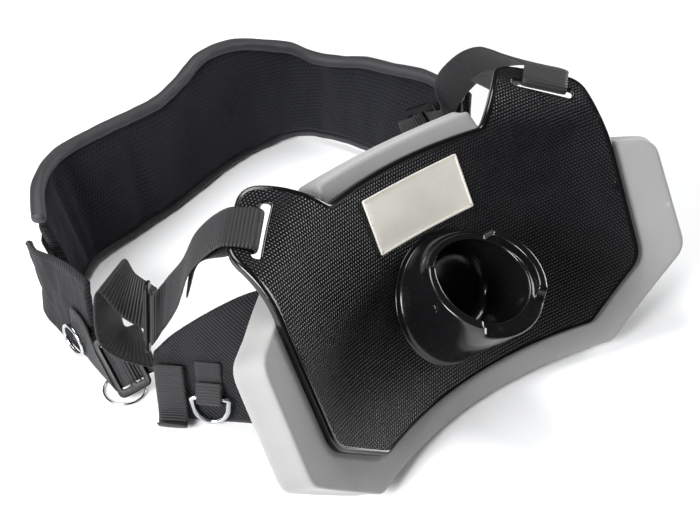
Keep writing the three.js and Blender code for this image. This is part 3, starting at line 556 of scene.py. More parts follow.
class Shader:
    """Adds nodes to a new material and wires them."""

    def __init__(self, name: str) -> None:
        """Starts a material with its own shader."""
        self.material = bpy.data.materials.new(name)
        self.material.use_nodes = True
        self.tree = self.material.node_tree
        self.body = self.tree.nodes["Principled BSDF"]

    def add(self, kind: str, **values: object) -> bpy.types.Node:
        """A node of a kind with its own settings.

        Args:
            kind: Blender's name for it.
            values: its settings by name.
        Returns:
            The node.
        """
        node = self.tree.nodes.new(kind)
        for key, value in values.items():
            setattr(node, key, value)
        return node

    def wire(self, source: Socket | Colour | float, target: Socket) -> None:
        """Links a socket, or writes a plain value or a solid colour into the target.

        Args:
            source: a socket, a number or a colour.
            target: the socket that gets it.
        """
        if isinstance(source, Socket):
            self.tree.links.new(source, target)
        elif isinstance(source, tuple):
            target.default_value = (*source, 1.0)
        else:
            target.default_value = source

    def math(self, kind: str, *values: Socket | float) -> Socket:
        """One step of arithmetic.

        Args:
            kind: Blender's name for it.
            values: sockets or numbers, in order.
        Returns:
            The result.
        """
        node = self.add("ShaderNodeMath", operation=kind)
        for value, socket in zip(values, node.inputs):
            self.wire(value, socket)
        return node.outputs[0]

    def plus(self, a: Socket | float, b: Socket | float) -> Socket:
        """One value and another."""
        return self.math("ADD", a, b)

    def times(self, a: Socket | float, b: Socket | float) -> Socket:
        """One value times another."""
        return self.math("MULTIPLY", a, b)

    def cell(self, value: Socket, size: float) -> Socket:
        """The number of the cell of a size that a value is in."""
        return self.math("FLOOR", self.math("DIVIDE", value, size))

    def weave(self) -> tuple[Socket, Socket]:
        """The across and along coordinates stored on the piece, in metres."""
        node = self.add("ShaderNodeAttribute", attribute_name="weave")
        split = self.add("ShaderNodeSeparateXYZ")
        self.wire(node.outputs["Vector"], split.inputs[0])
        return split.outputs[0], split.outputs[1]

    def place(self) -> Socket:
        """Object coordinates in metres."""
        return self.add("ShaderNodeTexCoord").outputs["Object"]

    def noise(self, scale: float, detail: float = 3.0, rough: float = 0.55,
              at: Socket | None = None) -> Socket:
        """Smooth noise with its cells about 1 / scale metres across.

        Args:
            scale: the cells in a metre.
            detail: how many finer layers there are.
            rough: how strong the finer layers are.
            at: where it is read, or none for the object's own place.
        Returns:
            A value from 0 to 1.
        """
        node = self.add("ShaderNodeTexNoise")
        node.inputs["Scale"].default_value = scale
        node.inputs["Detail"].default_value = detail
        node.inputs["Roughness"].default_value = rough
        self.wire(self.place() if at is None else at, node.inputs["Vector"])
        return node.outputs["Fac"]

    def spread(self, value: Socket, low: float, high: float, to_low: float = 0.0,
               to_high: float = 1.0) -> Socket:
        """A value mapped from one range to another, with soft ends.

        Args:
            value: what is mapped.
            low: the value that becomes to_low.
            high: the value that becomes to_high.
            to_low: the start of the new range.
            to_high: the end of the new range.
        Returns:
            The mapped value.
        """
        node = self.add("ShaderNodeMapRange", interpolation_type="SMOOTHSTEP")
        self.wire(value, node.inputs["Value"])
        for key, number in zip(RANGE_INPUTS, (low, high, to_low, to_high)):
            node.inputs[key].default_value = number
        return node.outputs["Result"]

    def mixed(self, share: Socket, a: Socket | Colour, b: Colour) -> Socket:
        """Two colours mixed by a share.

        Args:
            share: 0 for the first colour and 1 for the second.
            a: the first colour.
            b: the second colour.
        Returns:
            The mixed colour.
        """
        node = self.add("ShaderNodeMix", data_type="RGBA")
        for value, number in ((share, 0), (a, 6), (b, 7)):
            self.wire(value, node.inputs[number])
        return node.outputs[2]

    def ripple(self, value: Socket, pitch: float, phase: Socket | float = 0.0) -> Socket:
        """A wave from 0 to 1 with its crests a pitch apart."""
        turn = self.plus(self.times(value, 2 * math.pi / pitch), phase)
        return self.math("MULTIPLY_ADD", self.math("SINE", turn), 0.5, 0.5)

    def bump(self, height: Socket, depth: float, strength: float) -> Socket:
        """A relief with its depth in metres.

        Args:
            height: how high each place is, about 0 to 1.
            depth: what a height of 1 means, in metres.
            strength: how much of it is seen.
        Returns:
            The shading normal.
        """
        node = self.add("ShaderNodeBump")
        node.inputs["Strength"].default_value = strength
        node.inputs["Distance"].default_value = depth
        self.wire(height, node.inputs["Height"])
        return node.outputs["Normal"]

    def finish(self, **inputs: Socket | Colour | float) -> bpy.types.Material:
        """Sets the shader's own sockets and returns the material."""
        for key, value in inputs.items():
            self.wire(value, self.body.inputs[key.replace("_", " ")])
        return self.material


@dataclass(frozen=True)
class PippedPlastic:
    """Black moulded plastic with rows of small woven pips, their crests painted lighter as a painted
    highlight.
    """

    name: str = "pipped_plastic"
    colour: Colour = (0.0022, 0.0022, 0.0026)
    pitch: float = 0.0052
    roughness: float = 0.34
    # how much lighter the colour gets on the worn patches and on the painted highlight of the crests
    contrast: float = 6.0

    def build(self) -> bpy.types.Material:
        """The material."""
        s = Shader(self.name)
        across, up = s.weave()
        turn = 2 * math.pi / self.pitch
        odd = s.math("MODULO", s.cell(up, self.pitch * 0.5), 2.0)
        swing = s.plus(s.times(across, turn), s.times(s.times(odd, math.pi), 0.5))
        wave = s.math("ABSOLUTE", s.math("SINE", swing))
        rise = s.math("ABSOLUTE", s.math("SINE", s.times(up, turn)))
        pips = s.math("POWER", s.times(wave, rise), 0.8)
        grain = s.noise(1800.0, 2.0)
        wear = s.noise(45.0, 4.0)
        # Painted highlight: the pips' crests are painted lighter in the colour; the wear noise mixed in with
        # them is real wear.
        crest_highlight = s.spread(pips, 0.35, 0.95)
        wear_and_crest_highlight = s.math("MULTIPLY_ADD", wear, 0.25, s.times(crest_highlight, 0.8))
        worn = s.spread(wear, 0.3, 0.7, self.roughness - 0.05, self.roughness + 0.07)
        return s.finish(
            Base_Color=s.mixed(wear_and_crest_highlight, self.colour, shade(self.colour, self.contrast)),
            Roughness=s.plus(worn, s.times(pips, -0.06)),
            Specular_IOR_Level=s.spread(pips, 0.1, 0.8, 0.03, 0.4),
            Normal=s.bump(s.math("MULTIPLY_ADD", grain, 0.12, pips), 0.0005, 0.9),
        )


@dataclass(frozen=True)
class MouldedPlastic:
    """Plain black moulded plastic, from satin to gloss."""

    name: str
    colour: Colour = (0.004, 0.004, 0.0045)
    roughness: float = 0.24
    grain: float = 0.00004
    coat: float = 0.25
    gloss: float = 0.3

    def build(self) -> bpy.types.Material:
        """The material."""
        s = Shader(self.name)
        cloud = s.noise(30.0, 5.0)
        fine = s.noise(900.0, 3.0)
        scratch = s.spread(s.noise(160.0, 6.0, 0.7), 0.58, 0.68)
        patchy = s.spread(cloud, 0.3, 0.7, self.roughness * 0.85, self.roughness * 1.2)
        return s.finish(
            Base_Color=s.mixed(s.times(scratch, 0.35), self.colour, shade(self.colour, 3)),
            Roughness=s.plus(patchy, s.times(scratch, 0.08)),
            Coat_Weight=self.coat, Coat_Roughness=0.12, Specular_IOR_Level=self.gloss,
            Normal=s.bump(fine, self.grain, 0.5),
        )


@dataclass(frozen=True)
class CellFoam:
    """Grey closed-cell foam with fine grain."""

    name: str = "cell_foam"
    colour: Colour = (0.275, 0.274, 0.272)

    def build(self) -> bpy.types.Material:
        """The material."""
        s = Shader(self.name)
        cells = s.noise(1500.0, 4.0, 0.7)
        cloud = s.noise(25.0, 5.0, 0.6)
        scuffs = s.spread(s.noise(70.0, 8.0, 0.75), 0.56, 0.72)
        tone = s.plus(s.plus(s.times(cells, 0.4), s.times(cloud, 0.45)), s.times(scuffs, 0.2))
        pores = s.plus(cells, s.times(cloud, 0.6))
        return s.finish(
            Base_Color=s.mixed(tone, shade(self.colour, 0.82), shade(self.colour, 1.2)),
            Roughness=s.spread(cloud, 0.3, 0.7, 0.78, 0.92),
            Sheen_Weight=0.25, Sheen_Roughness=0.5, Specular_IOR_Level=0.3,
            Normal=s.bump(pores, 0.0003, 0.6),
        )


@dataclass(frozen=True)
class SpacerMesh:
    """Black knitted mesh with rows of oval holes, painted near-black as painted shade, and threads with a
    painted highlight.
    """

    name: str = "spacer_mesh"
    colour: Colour = (0.0075, 0.008, 0.0105)
    # the holes' colour: painted shade in the mesh's openings
    hole: Colour = (0.0006, 0.0006, 0.0007)
    pitch: float = 0.0042

    def build(self) -> bpy.types.Material:
        """The material."""
        s = Shader(self.name)
        across, along = s.weave()
        u = s.math("DIVIDE", across, self.pitch)
        odd = s.math("MODULO", s.math("FLOOR", u), 2.0)
        v = s.plus(s.math("DIVIDE", along, self.pitch * 0.8), s.times(odd, 0.5))
        du = s.math("SUBTRACT", s.math("FRACT", u), 0.5)
        dv = s.math("SUBTRACT", s.math("FRACT", v), 0.5)
        far = s.math("SQRT", s.plus(s.times(du, du), s.times(s.times(dv, dv), 1.7)))
        holes = s.spread(far, 0.24, 0.36, 1.0, 0.0)
        threads = s.ripple(s.plus(across, along), 0.0006)
        fuzz = s.noise(600.0, 4.0, 0.7)
        cloud = s.noise(14.0, 4.0)
        # The threads' crests are painted lighter, a painted highlight; the cloud is random tone.
        tone = s.plus(s.times(threads, 0.3), s.times(cloud, 0.6))
        knit = s.mixed(tone, shade(self.colour, 0.9), shade(self.colour, 2.4))
        yarn = s.plus(s.times(threads, 0.12), s.times(fuzz, 0.2))
        return s.finish(
            Base_Color=s.mixed(holes, knit, self.hole),
            Roughness=s.spread(fuzz, 0.2, 0.8, 0.78, 0.95),
            Sheen_Weight=0.06, Sheen_Roughness=0.45, Specular_IOR_Level=0.14,
            Normal=s.bump(s.plus(s.times(holes, -1.0), yarn), 0.0006, 0.8),
        )


class WeaveWay(Enum):
    """How the ribs of a cloth run."""

    ACROSS = "across the length"
    TWILL = "slanting"


@dataclass(frozen=True)
class RibbedCloth:
    """Black woven cloth or webbing with ribs, their crests painted lighter and their grooves darker as
    painted highlight and shade.
    """

    name: str
    way: WeaveWay
    pitch: float
    colour: Colour = (0.009, 0.009, 0.0102)
    depth: float = 0.00035
    sheen: float = 0.06
    gloss: float = 0.18
    rough: float = 0.68

    def build(self) -> bpy.types.Material:
        """The material."""
        s = Shader(self.name)
        across, along = s.weave()
        line = {
            WeaveWay.ACROSS: along,
            WeaveWay.TWILL: s.plus(along, s.times(across, 0.8)),
        }[self.way]
        ribs = s.ripple(line, self.pitch, s.times(s.noise(220.0, 3.0), 1.6))
        yarn = s.ripple(across, self.pitch * 0.42, s.times(s.cell(line, self.pitch), math.pi))
        fuzz = s.noise(1100.0, 4.0, 0.75)
        cloud = s.noise(22.0, 5.0)
        # Painted highlight and shade: the ribs' crests are painted lighter and their grooves darker; the
        # cloud and fuzz are random tone.
        tone = s.plus(s.plus(s.times(ribs, 0.45), s.times(cloud, 0.35)), s.times(fuzz, 0.2))
        height = s.plus(ribs, s.plus(s.times(yarn, 0.3), s.times(fuzz, 0.2)))
        return s.finish(
            Base_Color=s.mixed(tone, shade(self.colour, 0.3), shade(self.colour, 3.0)),
            Roughness=s.spread(fuzz, 0.2, 0.8, self.rough, self.rough + 0.18),
            Sheen_Weight=self.sheen, Sheen_Roughness=0.4, Specular_IOR_Level=self.gloss,
            Normal=s.bump(height, self.depth, 0.85),
        )


@dataclass(frozen=True)
class SatinMetal:
    """Warm silver sheet metal, brushed, with faint stains."""

    name: str = "satin_metal"
    colour: Colour = (0.74, 0.715, 0.65)

    def build(self) -> bpy.types.Material:
        """The material."""
        s = Shader(self.name)
        across, up = s.weave()
        at = s.add("ShaderNodeCombineXYZ")
        s.wire(s.times(across, 12.0), at.inputs[0])
        s.wire(s.times(up, 900.0), at.inputs[1])
        brushed = s.noise(3.0, 6.0, 0.7, at.outputs[0])
        cloud = s.noise(40.0, 5.0)
        stains = s.spread(s.noise(110.0, 6.0, 0.7), 0.55, 0.7)
        tone = s.plus(s.times(brushed, 0.5), s.times(cloud, 0.5))
        tone = s.math("SUBTRACT", tone, s.times(stains, 0.2))
        return s.finish(
            Base_Color=s.mixed(tone, shade(self.colour, 0.86), shade(self.colour, 1.15)),
            Metallic=0.35, Roughness=s.spread(cloud, 0.2, 0.8, 0.38, 0.5),
            Normal=s.bump(brushed, 0.00003, 0.4),
        )


@dataclass(frozen=True)
class PlatedSteel:
    """Bright plated wire and small castings."""

    name: str = "plated_steel"
    colour: Colour = (0.52, 0.53, 0.55)

    def build(self) -> bpy.types.Material:
        """The material."""
        s = Shader(self.name)
        fine = s.noise(700.0, 4.0)
        cloud = s.noise(120.0, 4.0)
        return s.finish(
            Base_Color=s.mixed(cloud, shade(self.colour, 0.8), shade(self.colour, 1.1)),
            Metallic=1.0, Roughness=s.spread(cloud, 0.3, 0.7, 0.12, 0.28),
            Normal=s.bump(fine, 0.00003, 0.4),
        )


@dataclass(frozen=True)
class TableTop:
    """Pale table with a soft gloss."""

    name: str = "table_top"
    colour: Colour = (0.93, 0.935, 0.945)

    def build(self) -> bpy.types.Material:
        """The material."""
        s = Shader(self.name)
        cloud = s.noise(3.0, 3.0)
        colour = s.mixed(cloud, shade(self.colour, 0.985), self.colour)
        return s.finish(Base_Color=colour, Roughness=0.32, Specular_IOR_Level=0.4)


class Finishes:
    """Every material of the belt, each made once."""

    def __init__(self) -> None:
        """Makes the materials."""
        self.pips = PippedPlastic().build()
        self.gloss = MouldedPlastic("gloss_plastic", roughness=0.2, coat=0.35).build()
        self.satin = MouldedPlastic("satin_plastic", roughness=0.4, coat=0.03, gloss=0.16).build()
        self.foam = CellFoam().build()
        self.mesh = SpacerMesh().build()
        self.tape = RibbedCloth("binding_tape", WeaveWay.ACROSS, 0.0011, depth=0.00012,
                                colour=(0.008, 0.0082, 0.0098), sheen=0.1, gloss=0.5, rough=0.45).build()
        self.cloth = RibbedCloth("wing_cloth", WeaveWay.TWILL, 0.0034, depth=0.0007,
                                 colour=(0.0075, 0.0077, 0.009)).build()
        self.web = RibbedCloth("webbing", WeaveWay.ACROSS, 0.0026, depth=0.0005,
                               colour=(0.007, 0.007, 0.008), gloss=0.4, rough=0.5).build()
        self.badge = SatinMetal().build()
        self.steel = PlatedSteel().build()
        self.table = TableTop().build()


def register(obj: bpy.types.Object, slot: str, *nodes: str) -> bpy.types.Object:
    """Lets a piece ride on the belt and hides the solids it stands for.

    Args:
        obj: the piece.
        slot: not used.
        nodes: the solids that it replaces.
    Returns:
        The piece.
    """
    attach(obj, "root")
    if nodes:
        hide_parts(*nodes)
    log.info("%s: %d points, %d faces", obj.name, len(obj.data.vertices), len(obj.data.polygons))
    return obj


# Shield: plate, pad and badge share one lean and one bend

@dataclass
class Stance:
    """How the plate and pad lean and bend, and the shape of the plate's ears."""

    lean: float = 32.2
    seat: float = 2.1
    bend: float = 310.0
    half_width: float = 168.0
    height: float = 207.5
    ear_length: float = 67.5
    ear_bend: float = 52.0
    notch_out: float = 0.451
    shoulder_out: float = 1.027
    shoulder_up: float = 0.761

    def __post_init__(self) -> None:
        """Works out where the ears begin and which way they fold."""
        self.notch = np.array([self.notch_out * self.half_width, self.height])
        self.shoulder = np.array([self.shoulder_out * self.half_width, self.shoulder_up * self.height])
        self.fold = unit(self.shoulder - self.notch)
        self.out = np.array([-self.fold[1], self.fold[0]])
        self.fold_length = float(np.linalg.norm(self.shoulder - self.notch))

    def ear_spot(self, along: float, out: float) -> Array:
        """A flat spot on the right ear."""
        return self.notch + self.fold * along + self.out * out

    def folded(self, points: Array) -> Array:
        """The ears bent back beyond their fold line.

        Args:
            points: rows of (across, up, level).
        Returns:
            The same rows, bent.
        """
        p = np.array(points, float)
        side = np.where(p[:, 0] < 0, -1.0, 1.0)
        flat = np.column_stack([np.abs(p[:, 0]), p[:, 1]])
        out = (flat - self.notch) @ self.out
        on = (out > 0) & (flat[:, 0] >= self.notch[0] * 0.5)
        turn = np.where(on, out / self.ear_bend, 0)
        radius = self.ear_bend + p[:, 2]
        flat += self.out * np.where(on, radius * np.sin(turn) - out, 0)[:, None]
        level = np.where(on, radius * np.cos(turn) - self.ear_bend, p[:, 2])
        return np.column_stack([side * flat[:, 0], flat[:, 1], level])

    def bent(self, points: Array) -> Array:
        """The sheet bent about its middle, so that both ends come forward."""
        p = np.asarray(points, float)
        turn, reach = p[:, 0] / self.bend, self.bend - p[:, 2]
        return np.column_stack([reach * np.sin(turn), p[:, 1], self.bend - reach * np.cos(turn)])

    def stood(self, points: Array) -> Array:
        """Shield coordinates to the drawing frame."""
        p = np.asarray(points, float)
        s, c = math.sin(math.radians(self.lean)), math.cos(math.radians(self.lean))
        return np.column_stack([p[:, 0], p[:, 1] * s - p[:, 2] * c, p[:, 1] * c + p[:, 2] * s + self.seat])

    def laid(self, points: Array, ears: bool = False) -> Array:
        """Flat (across, up, level) to the drawing frame."""
        p = self.folded(points) if ears else points
        return self.stood(self.bent(p))


# Rows round the cup: how far up its wall, and how far its foot flares
CUP_WALL = [(-0.05, 7.0), (0.0, 6.6), (0.012, 5.0), (0.03, 3.7), (0.06, 2.6), (0.1, 1.8), (0.16, 1.1),
            (0.24, 0.55), (0.34, 0.2), (0.5, 0.05), (0.65, 0), (0.8, 0), (0.9, 0)]
# Rows down the bore: how far up, the share of its radius and the share of its shift
BORE_WALL = [(0.97, 1, 1), (0.9, 0.995, 0.95), (0.8, 0.985, 0.9), (0.6, 0.96, 0.75), (0.4, 0.93, 0.5),
             (0.3, 0.9, 0.36), (0.22, 0.86, 0.26), (0.16, 0.79, 0.16), (0.115, 0.68, 0.08),
             (0.085, 0.52, 0.0), (0.07, 0.34, 0.0), (0.066, 0.16, 0.0)]
# Rows of a pin's head: how far it stands out past the rim, and its radius
PIN_HEAD = [(-1.5, 3.4), (0.3, 3.4), (0.75, 3.0), (0.8, 2.4), (0.35, 1.9), (0.3, 0.4)]


@dataclass
class RodPlate:
    """Moulded plate with bent ears, strap slots and the rod cup."""

    stance: Stance
    wall: float = 3.2
    skirt: float = 6.0
    slot_width: float = 7.0
    slot_bar: float = 22.0
    rim: float = 46.0
    bore: float = 36.5
    bore_shift: float = 3.5
    cup_tilt: float = 38.0
    cup_rise: float = 49.5
    seat_up: float = 98.0
    rim_up: float = 111.0
    cheek_rise: float = 9.0
    cheek_inner: float = 38.5
    cheek_start: float = 42.0
    cheek_end: float = 49.0
    pin_turn: float = 0.09
    pin_drop: float = 3.5

    def outline(self) -> Array:
        """The plate's outline before it is bent."""
        st = self.stance
        w, h = st.half_width, st.height
        low = st.ear_spot(0.727 * st.fold_length, 0.815 * st.ear_length)
        high = st.ear_spot(0.171 * st.fold_length, st.ear_length)
        half = [
            (0.664 * w, 0.111 * h, 9.0), (0.993 * w, 0.281 * h, 12.0), (*st.shoulder, 14.0),
            (*low, 13.0), (*high, 15.0), (*st.notch, 18.0),
        ]
        return respaced(mirrored_outline(half, 0.034 * h, 0.022 * h, 9), 3.0)

    def slots(self) -> list[Array]:
        """The two strap slots before they are bent."""
        st = self.stance
        reach = st.ear_length - self.slot_bar
        near = st.ear_spot(0.281 * st.fold_length, reach - self.slot_width / 2)
        far = st.ear_spot(0.653 * st.fold_length, reach - self.slot_width * 1.48)
        along = unit(far - near)
        half = self.slot_width / 2
        out = np.array([-along[1], along[0]]) * half
        near, far = near - along * half, far + along * half
        corners = [near - out, far - out, far + out, near + out]
        right = respaced(rounded_outline([(*p, 2.8) for p in corners], 5), 1.6)
        left = right[::-1] * np.array([-1.0, 1.0])
        return [right, left]

    def shield(self) -> Surface:
        """The bent sheet with its skirt, smooth border and slots."""
        sheet = PressedSheet(
            outline=self.outline(),
            edge=[(4.3, -0.3), (3.7, -0.28), (3.2, 0.0), (2.4, 0.05), (1.5, -0.12), (0.7, -0.6), (0.2, -1.4),
                  (0.0, -2.4), (0.0, -4.4), (0.05, -5.7), (0.3, -self.skirt), (1.2, -self.skirt),
                  (1.5, -5.6), (1.7, -self.wall - 0.2), (2.3, -self.wall)],
            holes=self.slots(),
            hole_edge=[(1.7, -0.3), (1.2, -0.25), (0.7, -0.3), (0.25, -0.7), (0.0, -1.3), (0.0, -self.wall)],
            grid=4.4,
        )
        surface = sheet.surface()
        surface.points = self.stance.laid(surface.points, ears=True)
        return surface

    def tilted(self, share: float) -> tuple[Array, Array]:
        """The way up the cup's face and the way out of it, at a share of the tilt."""
        tilt = math.radians(self.cup_tilt) * share
        upward = np.array([0, math.cos(tilt), -math.sin(tilt)])
        return upward, np.array([0, math.sin(tilt), math.cos(tilt)])

    def cup_ring(self, t: float, radius: Array | float, shift: float, lift: Array | float, count: int,
                 follow: float = 0.0) -> Array:
        """A ring round the cup in shield coordinates.

        Args:
            t: 0 at the foot and 1 at the rim.
            radius: the ring's radius, for each point or for all.
            shift: how far the ring's middle stands above the cup's axis.
            lift: how far each point stands off the ring's plane.
            count: number of points.
            follow: how far the ring follows the plate's bend.
        Returns:
            One row for each point.
        """
        upward, axis = self.tilted(min(1.0, max(0.0, t)))
        centre = np.array([0, self.seat_up + (self.rim_up - self.seat_up) * t, self.cup_rise * t])
        angle = circle(count)
        x = radius * np.cos(angle)
        ring = centre + upward * (shift + radius * np.sin(angle))[:, None] + np.outer(x, [1, 0, 0])
        ring += axis * (np.zeros(count) + lift)[:, None]
        ring[:, 2] += follow * x ** 2 / (2 * self.stance.bend)
        return ring

    def cup(self) -> Surface:
        """The cup from its foot over the rim and cheeks down to the bore's floor."""
        count = 144
        angle = circle(count)
        off_side = np.abs(np.arctan2(np.sin(angle), np.abs(np.cos(angle))))
        cheek = 1 - smooth_step(math.radians(self.cheek_start), math.radians(self.cheek_end), off_side)
        up = self.cheek_rise * cheek
        bore_edge = self.bore_shift * np.sin(angle) + np.sqrt(
            self.bore ** 2 - (self.bore_shift * np.cos(angle)) ** 2)
        inner = np.maximum(self.cheek_inner, bore_edge + 0.9)
        outer = self.rim - 0.6 * cheek
        brim = [
            (outer, up * 0.25 - 2.4), (outer, up - 1.7), (outer - 0.35, up - 0.7), (outer - 1.1, up - 0.15),
            (outer - 2.2, up), (inner + 0.6 * (outer - inner - 2.2), up), (inner + 1.6, up),
            (inner + 0.6, up - 0.25 * cheek), (inner + 0.1, up - cheek), (inner, up * 0.5),
            (inner, up * 0.1), (inner - 0.05, 0.0), (np.minimum(inner - 0.1, bore_edge + 1.4), 0.0),
            (np.minimum(inner - 0.2, bore_edge + 0.4), -0.25),
        ]
        rows = [self.cup_ring(t, self.rim + flare, 0, 0, count, min(1.0, 1 - t) ** 2)
                for t, flare in CUP_WALL]
        rows += [self.cup_ring(1.0, radius, 0, lift, count) for radius, lift in brim]
        rows += [self.cup_ring(t, self.bore * share, self.bore_shift * off, 0, count)
                 for t, share, off in BORE_WALL]
        surface = swept(np.array(rows))
        surface.points = self.stance.stood(surface.points)
        return surface.plain(1)

    def pin(self, turn: float) -> Surface:
        """The head of the short pin through one cheek, at a turn round the rim.

        Args:
            turn: the angle round the rim, in radians.
        Returns:
            The closed head in the drawing frame.
        """
        upward, axis = self.tilted(1.0)
        out = np.array([math.cos(turn), 0, 0]) + upward * math.sin(turn)
        side = np.cross(axis, out)
        centre = np.array([0, self.rim_up, self.cup_rise]) - axis * self.pin_drop
        angle = circle(20)
        rows = []
        for past, radius in PIN_HEAD:
            ring = np.outer(np.cos(angle), side) * radius + np.outer(np.sin(angle), axis) * radius
            rows.append(centre + out * (self.rim + past) + ring)
        surface = swept(np.array(rows))
        surface.points = self.stance.stood(surface.points)
        return surface.plain(1)

    def build(self, finishes: Finishes) -> None:
        """Makes the plate, the cup and its pins as one piece."""
        surface = self.shield().joined(self.cup())
        for turn in (self.pin_turn, math.pi - self.pin_turn):
            surface = surface.joined(self.pin(turn))
        obj = build_object("rod_plate", surface, [finishes.pips, finishes.gloss])
        register(obj, "plate", "plate")


@dataclass
class Badge:
    """Thin metal plate with a raised border, bent with the shield."""

    stance: Stance
    width: float = 94.0
    height: float = 43.5
    up: float = 175.8
    thick: float = 1.2
    border: float = 1.6
    lift: float = 0.5
    gap: float = 0.3
    corner: float = 1.4

    def build(self, finishes: Finishes) -> None:
        """Makes the badge."""
        w, low, high = self.width / 2, self.up - self.height / 2, self.up + self.height / 2
        corners = [(x, y, self.corner) for x, y in ((-w, low), (w, low), (w, high), (-w, high))]
        top = self.gap + self.thick
        crest = top + self.lift
        sheet = PressedSheet(
            outline=respaced(rounded_outline(corners, 4), 2.0),
            edge=[(self.border + 0.5, top), (self.border + 0.15, top + 0.08), (self.border - 0.1, top + 0.42),
                  (self.border - 0.4, crest), (0.45, crest), (0.12, crest - 0.15), (0.0, crest - 0.5),
                  (0.0, self.gap + 0.1), (0.3, -0.2)],
            grid=4.0, edge_finish=0,
        )
        surface = sheet.surface()
        surface.points = self.stance.laid(surface.points)
        register(build_object("badge_plate", surface, [finishes.badge]), "badge", "badge")


@dataclass
class FoamPad:
    """Thick grey foam block behind the plate, pressed flat where it meets the table."""

    stance: Stance
    half_width: float = 205.5
    height: float = 222.0
    thick: float = 25.0
    front: float = -6.45
    bevel: float = 2.2
    bulge: float = 0.7

    def edge(self) -> list[tuple[float, float]]:
        """The pad's edge: soft corners and a slight bulge between them."""
        b, front, back = self.bevel, self.front, self.front - self.thick
        corner = [(b * 1.6, 0.0), (b, 0.04 * b), (0.5 * b, 0.16 * b), (0.15 * b, 0.5 * b), (0.0, b)]
        rows = [(away, front - down) for away, down in corner]
        for share in np.linspace(0, 1, 7)[1:-1]:
            bow = self.bulge * math.sin(math.pi * share)
            rows.append((bow, front - b - share * (self.thick - 2 * b)))
        return rows + [(away, back + down) for away, down in reversed(corner)]

    def build(self, finishes: Finishes) -> None:
        """Makes the pad."""
        p, h = self.half_width, self.height
        half = [(0.61 * p, 0.0, 9.0), (0.99 * p, 0.239 * h, 11.0), (p, 0.656 * h, 12.0),
                (0.862 * p, 0.7 * h, 4.0), (0.372 * p, 0.936 * h, 3.0), (0.354 * p, h, 5.0)]
        outline = respaced(mirrored_outline(half, 0.04 * h, 0.006 * h, 6), 3.4)
        sheet = PressedSheet(outline=outline, edge=self.edge(), grid=6.5, edge_finish=0)
        surface = sheet.surface()
        surface.points = self.stance.laid(surface.points)
        surface.points[:, 2] = np.maximum(surface.points[:, 2], 0.0)
        obj = register(build_object("foam_block", surface, [finishes.foam]), "foam", "foam_pad")


# Cloth walls

@dataclass(frozen=True)
class WallRow:
    """One upright of a cloth wall, as shares of the belt's half width, depth and height."""

    x: float
    y: float
    z: float
    dx: float
    dy: float
    top: float

    def foot(self) -> Array:
        """Where the upright starts."""
        return belt_spot(self.x, self.y, self.z)

    def head(self) -> Array:
        """Where the upright ends."""
        return belt_spot(self.x + self.dx, self.y + self.dy, self.top)

    def mirrored(self) -> "WallRow":
        """The same upright on the other side."""
        return WallRow(-self.x, self.y, self.z, -self.dx, self.dy, self.top)


@dataclass
class ClothWall:
    """A standing wall of cloth through a row of uprights."""

    rows: list[WallRow]
    steps: int

    def __post_init__(self) -> None:
        """Works out the wall's foot, head, rise and outer side at each step."""
        shares = np.linspace(0, 1, self.steps + 1)
        feet = np.array([r.foot() for r in self.rows])
        heads = np.array([r.head() for r in self.rows])
        self.low, self.high = spline(feet, shares), spline(heads, shares)
        rise = self.high - self.low
        self.tall = np.linalg.norm(rise, axis=1)
        self.rise = unit(rise)
        ahead = unit(np.gradient(self.low, axis=0) + np.gradient(self.high, axis=0))
        self.across = unit(np.cross(self.rise, ahead))
        self.run = lengths_along((self.low + self.high) / 2)

    def sections(self, side: Array | float, share: Array, lift: Array | float = 0.0) -> Array:
        """Points of the wall.

        Args:
            side: millimetres across the wall, outside above 0, rows by points or points.
            share: how far up the wall, 0 to 1.
            lift: millimetres added to that.
        Returns:
            Rows by points by three.
        """
        shape = np.broadcast(np.zeros((self.steps + 1, 1)), side, share, lift).shape
        side, share, lift = (np.broadcast_to(np.asarray(a, float), shape) for a in (side, share, lift))
        up = share * self.tall[:, None] + lift
        return (self.low[:, None] + self.rise[:, None] * up[..., None]
                + self.across[:, None] * side[..., None])

    def coordinates(self, share: Array, lift: Array | float = 0.0) -> Array:
        """Weave coordinates: up the wall and along it, in millimetres."""
        up = np.asarray(share, float) * self.tall[:, None] + lift
        along = np.broadcast_to(self.run[:, None], up.shape)
        return np.stack([up, along], -1)


def wrinkle(points: Array, seed: int, size: float) -> Array:
    """Smooth, seeded ups and downs.

    Args:
        points: where they are read, in millimetres.
        seed: the seed of the waves' ways and phases.
        size: the length of the longest waves, in millimetres.
    Returns:
        A value from -1 to 1 for each point.
    """
    random = np.random.default_rng(seed)
    total = np.zeros(len(points))
    weight = 0.0
    for octave in range(4):
        ways = unit(random.normal(size=(5, 3))) * (2 ** octave) / size * 2 * math.pi
        phases = random.uniform(0, 2 * math.pi, 5)
        strength = 0.55 ** octave
        total += strength * np.sin(points @ ways.T + phases).sum(1) / 2.2
        weight += strength
    return np.clip(total / weight, -1, 1)


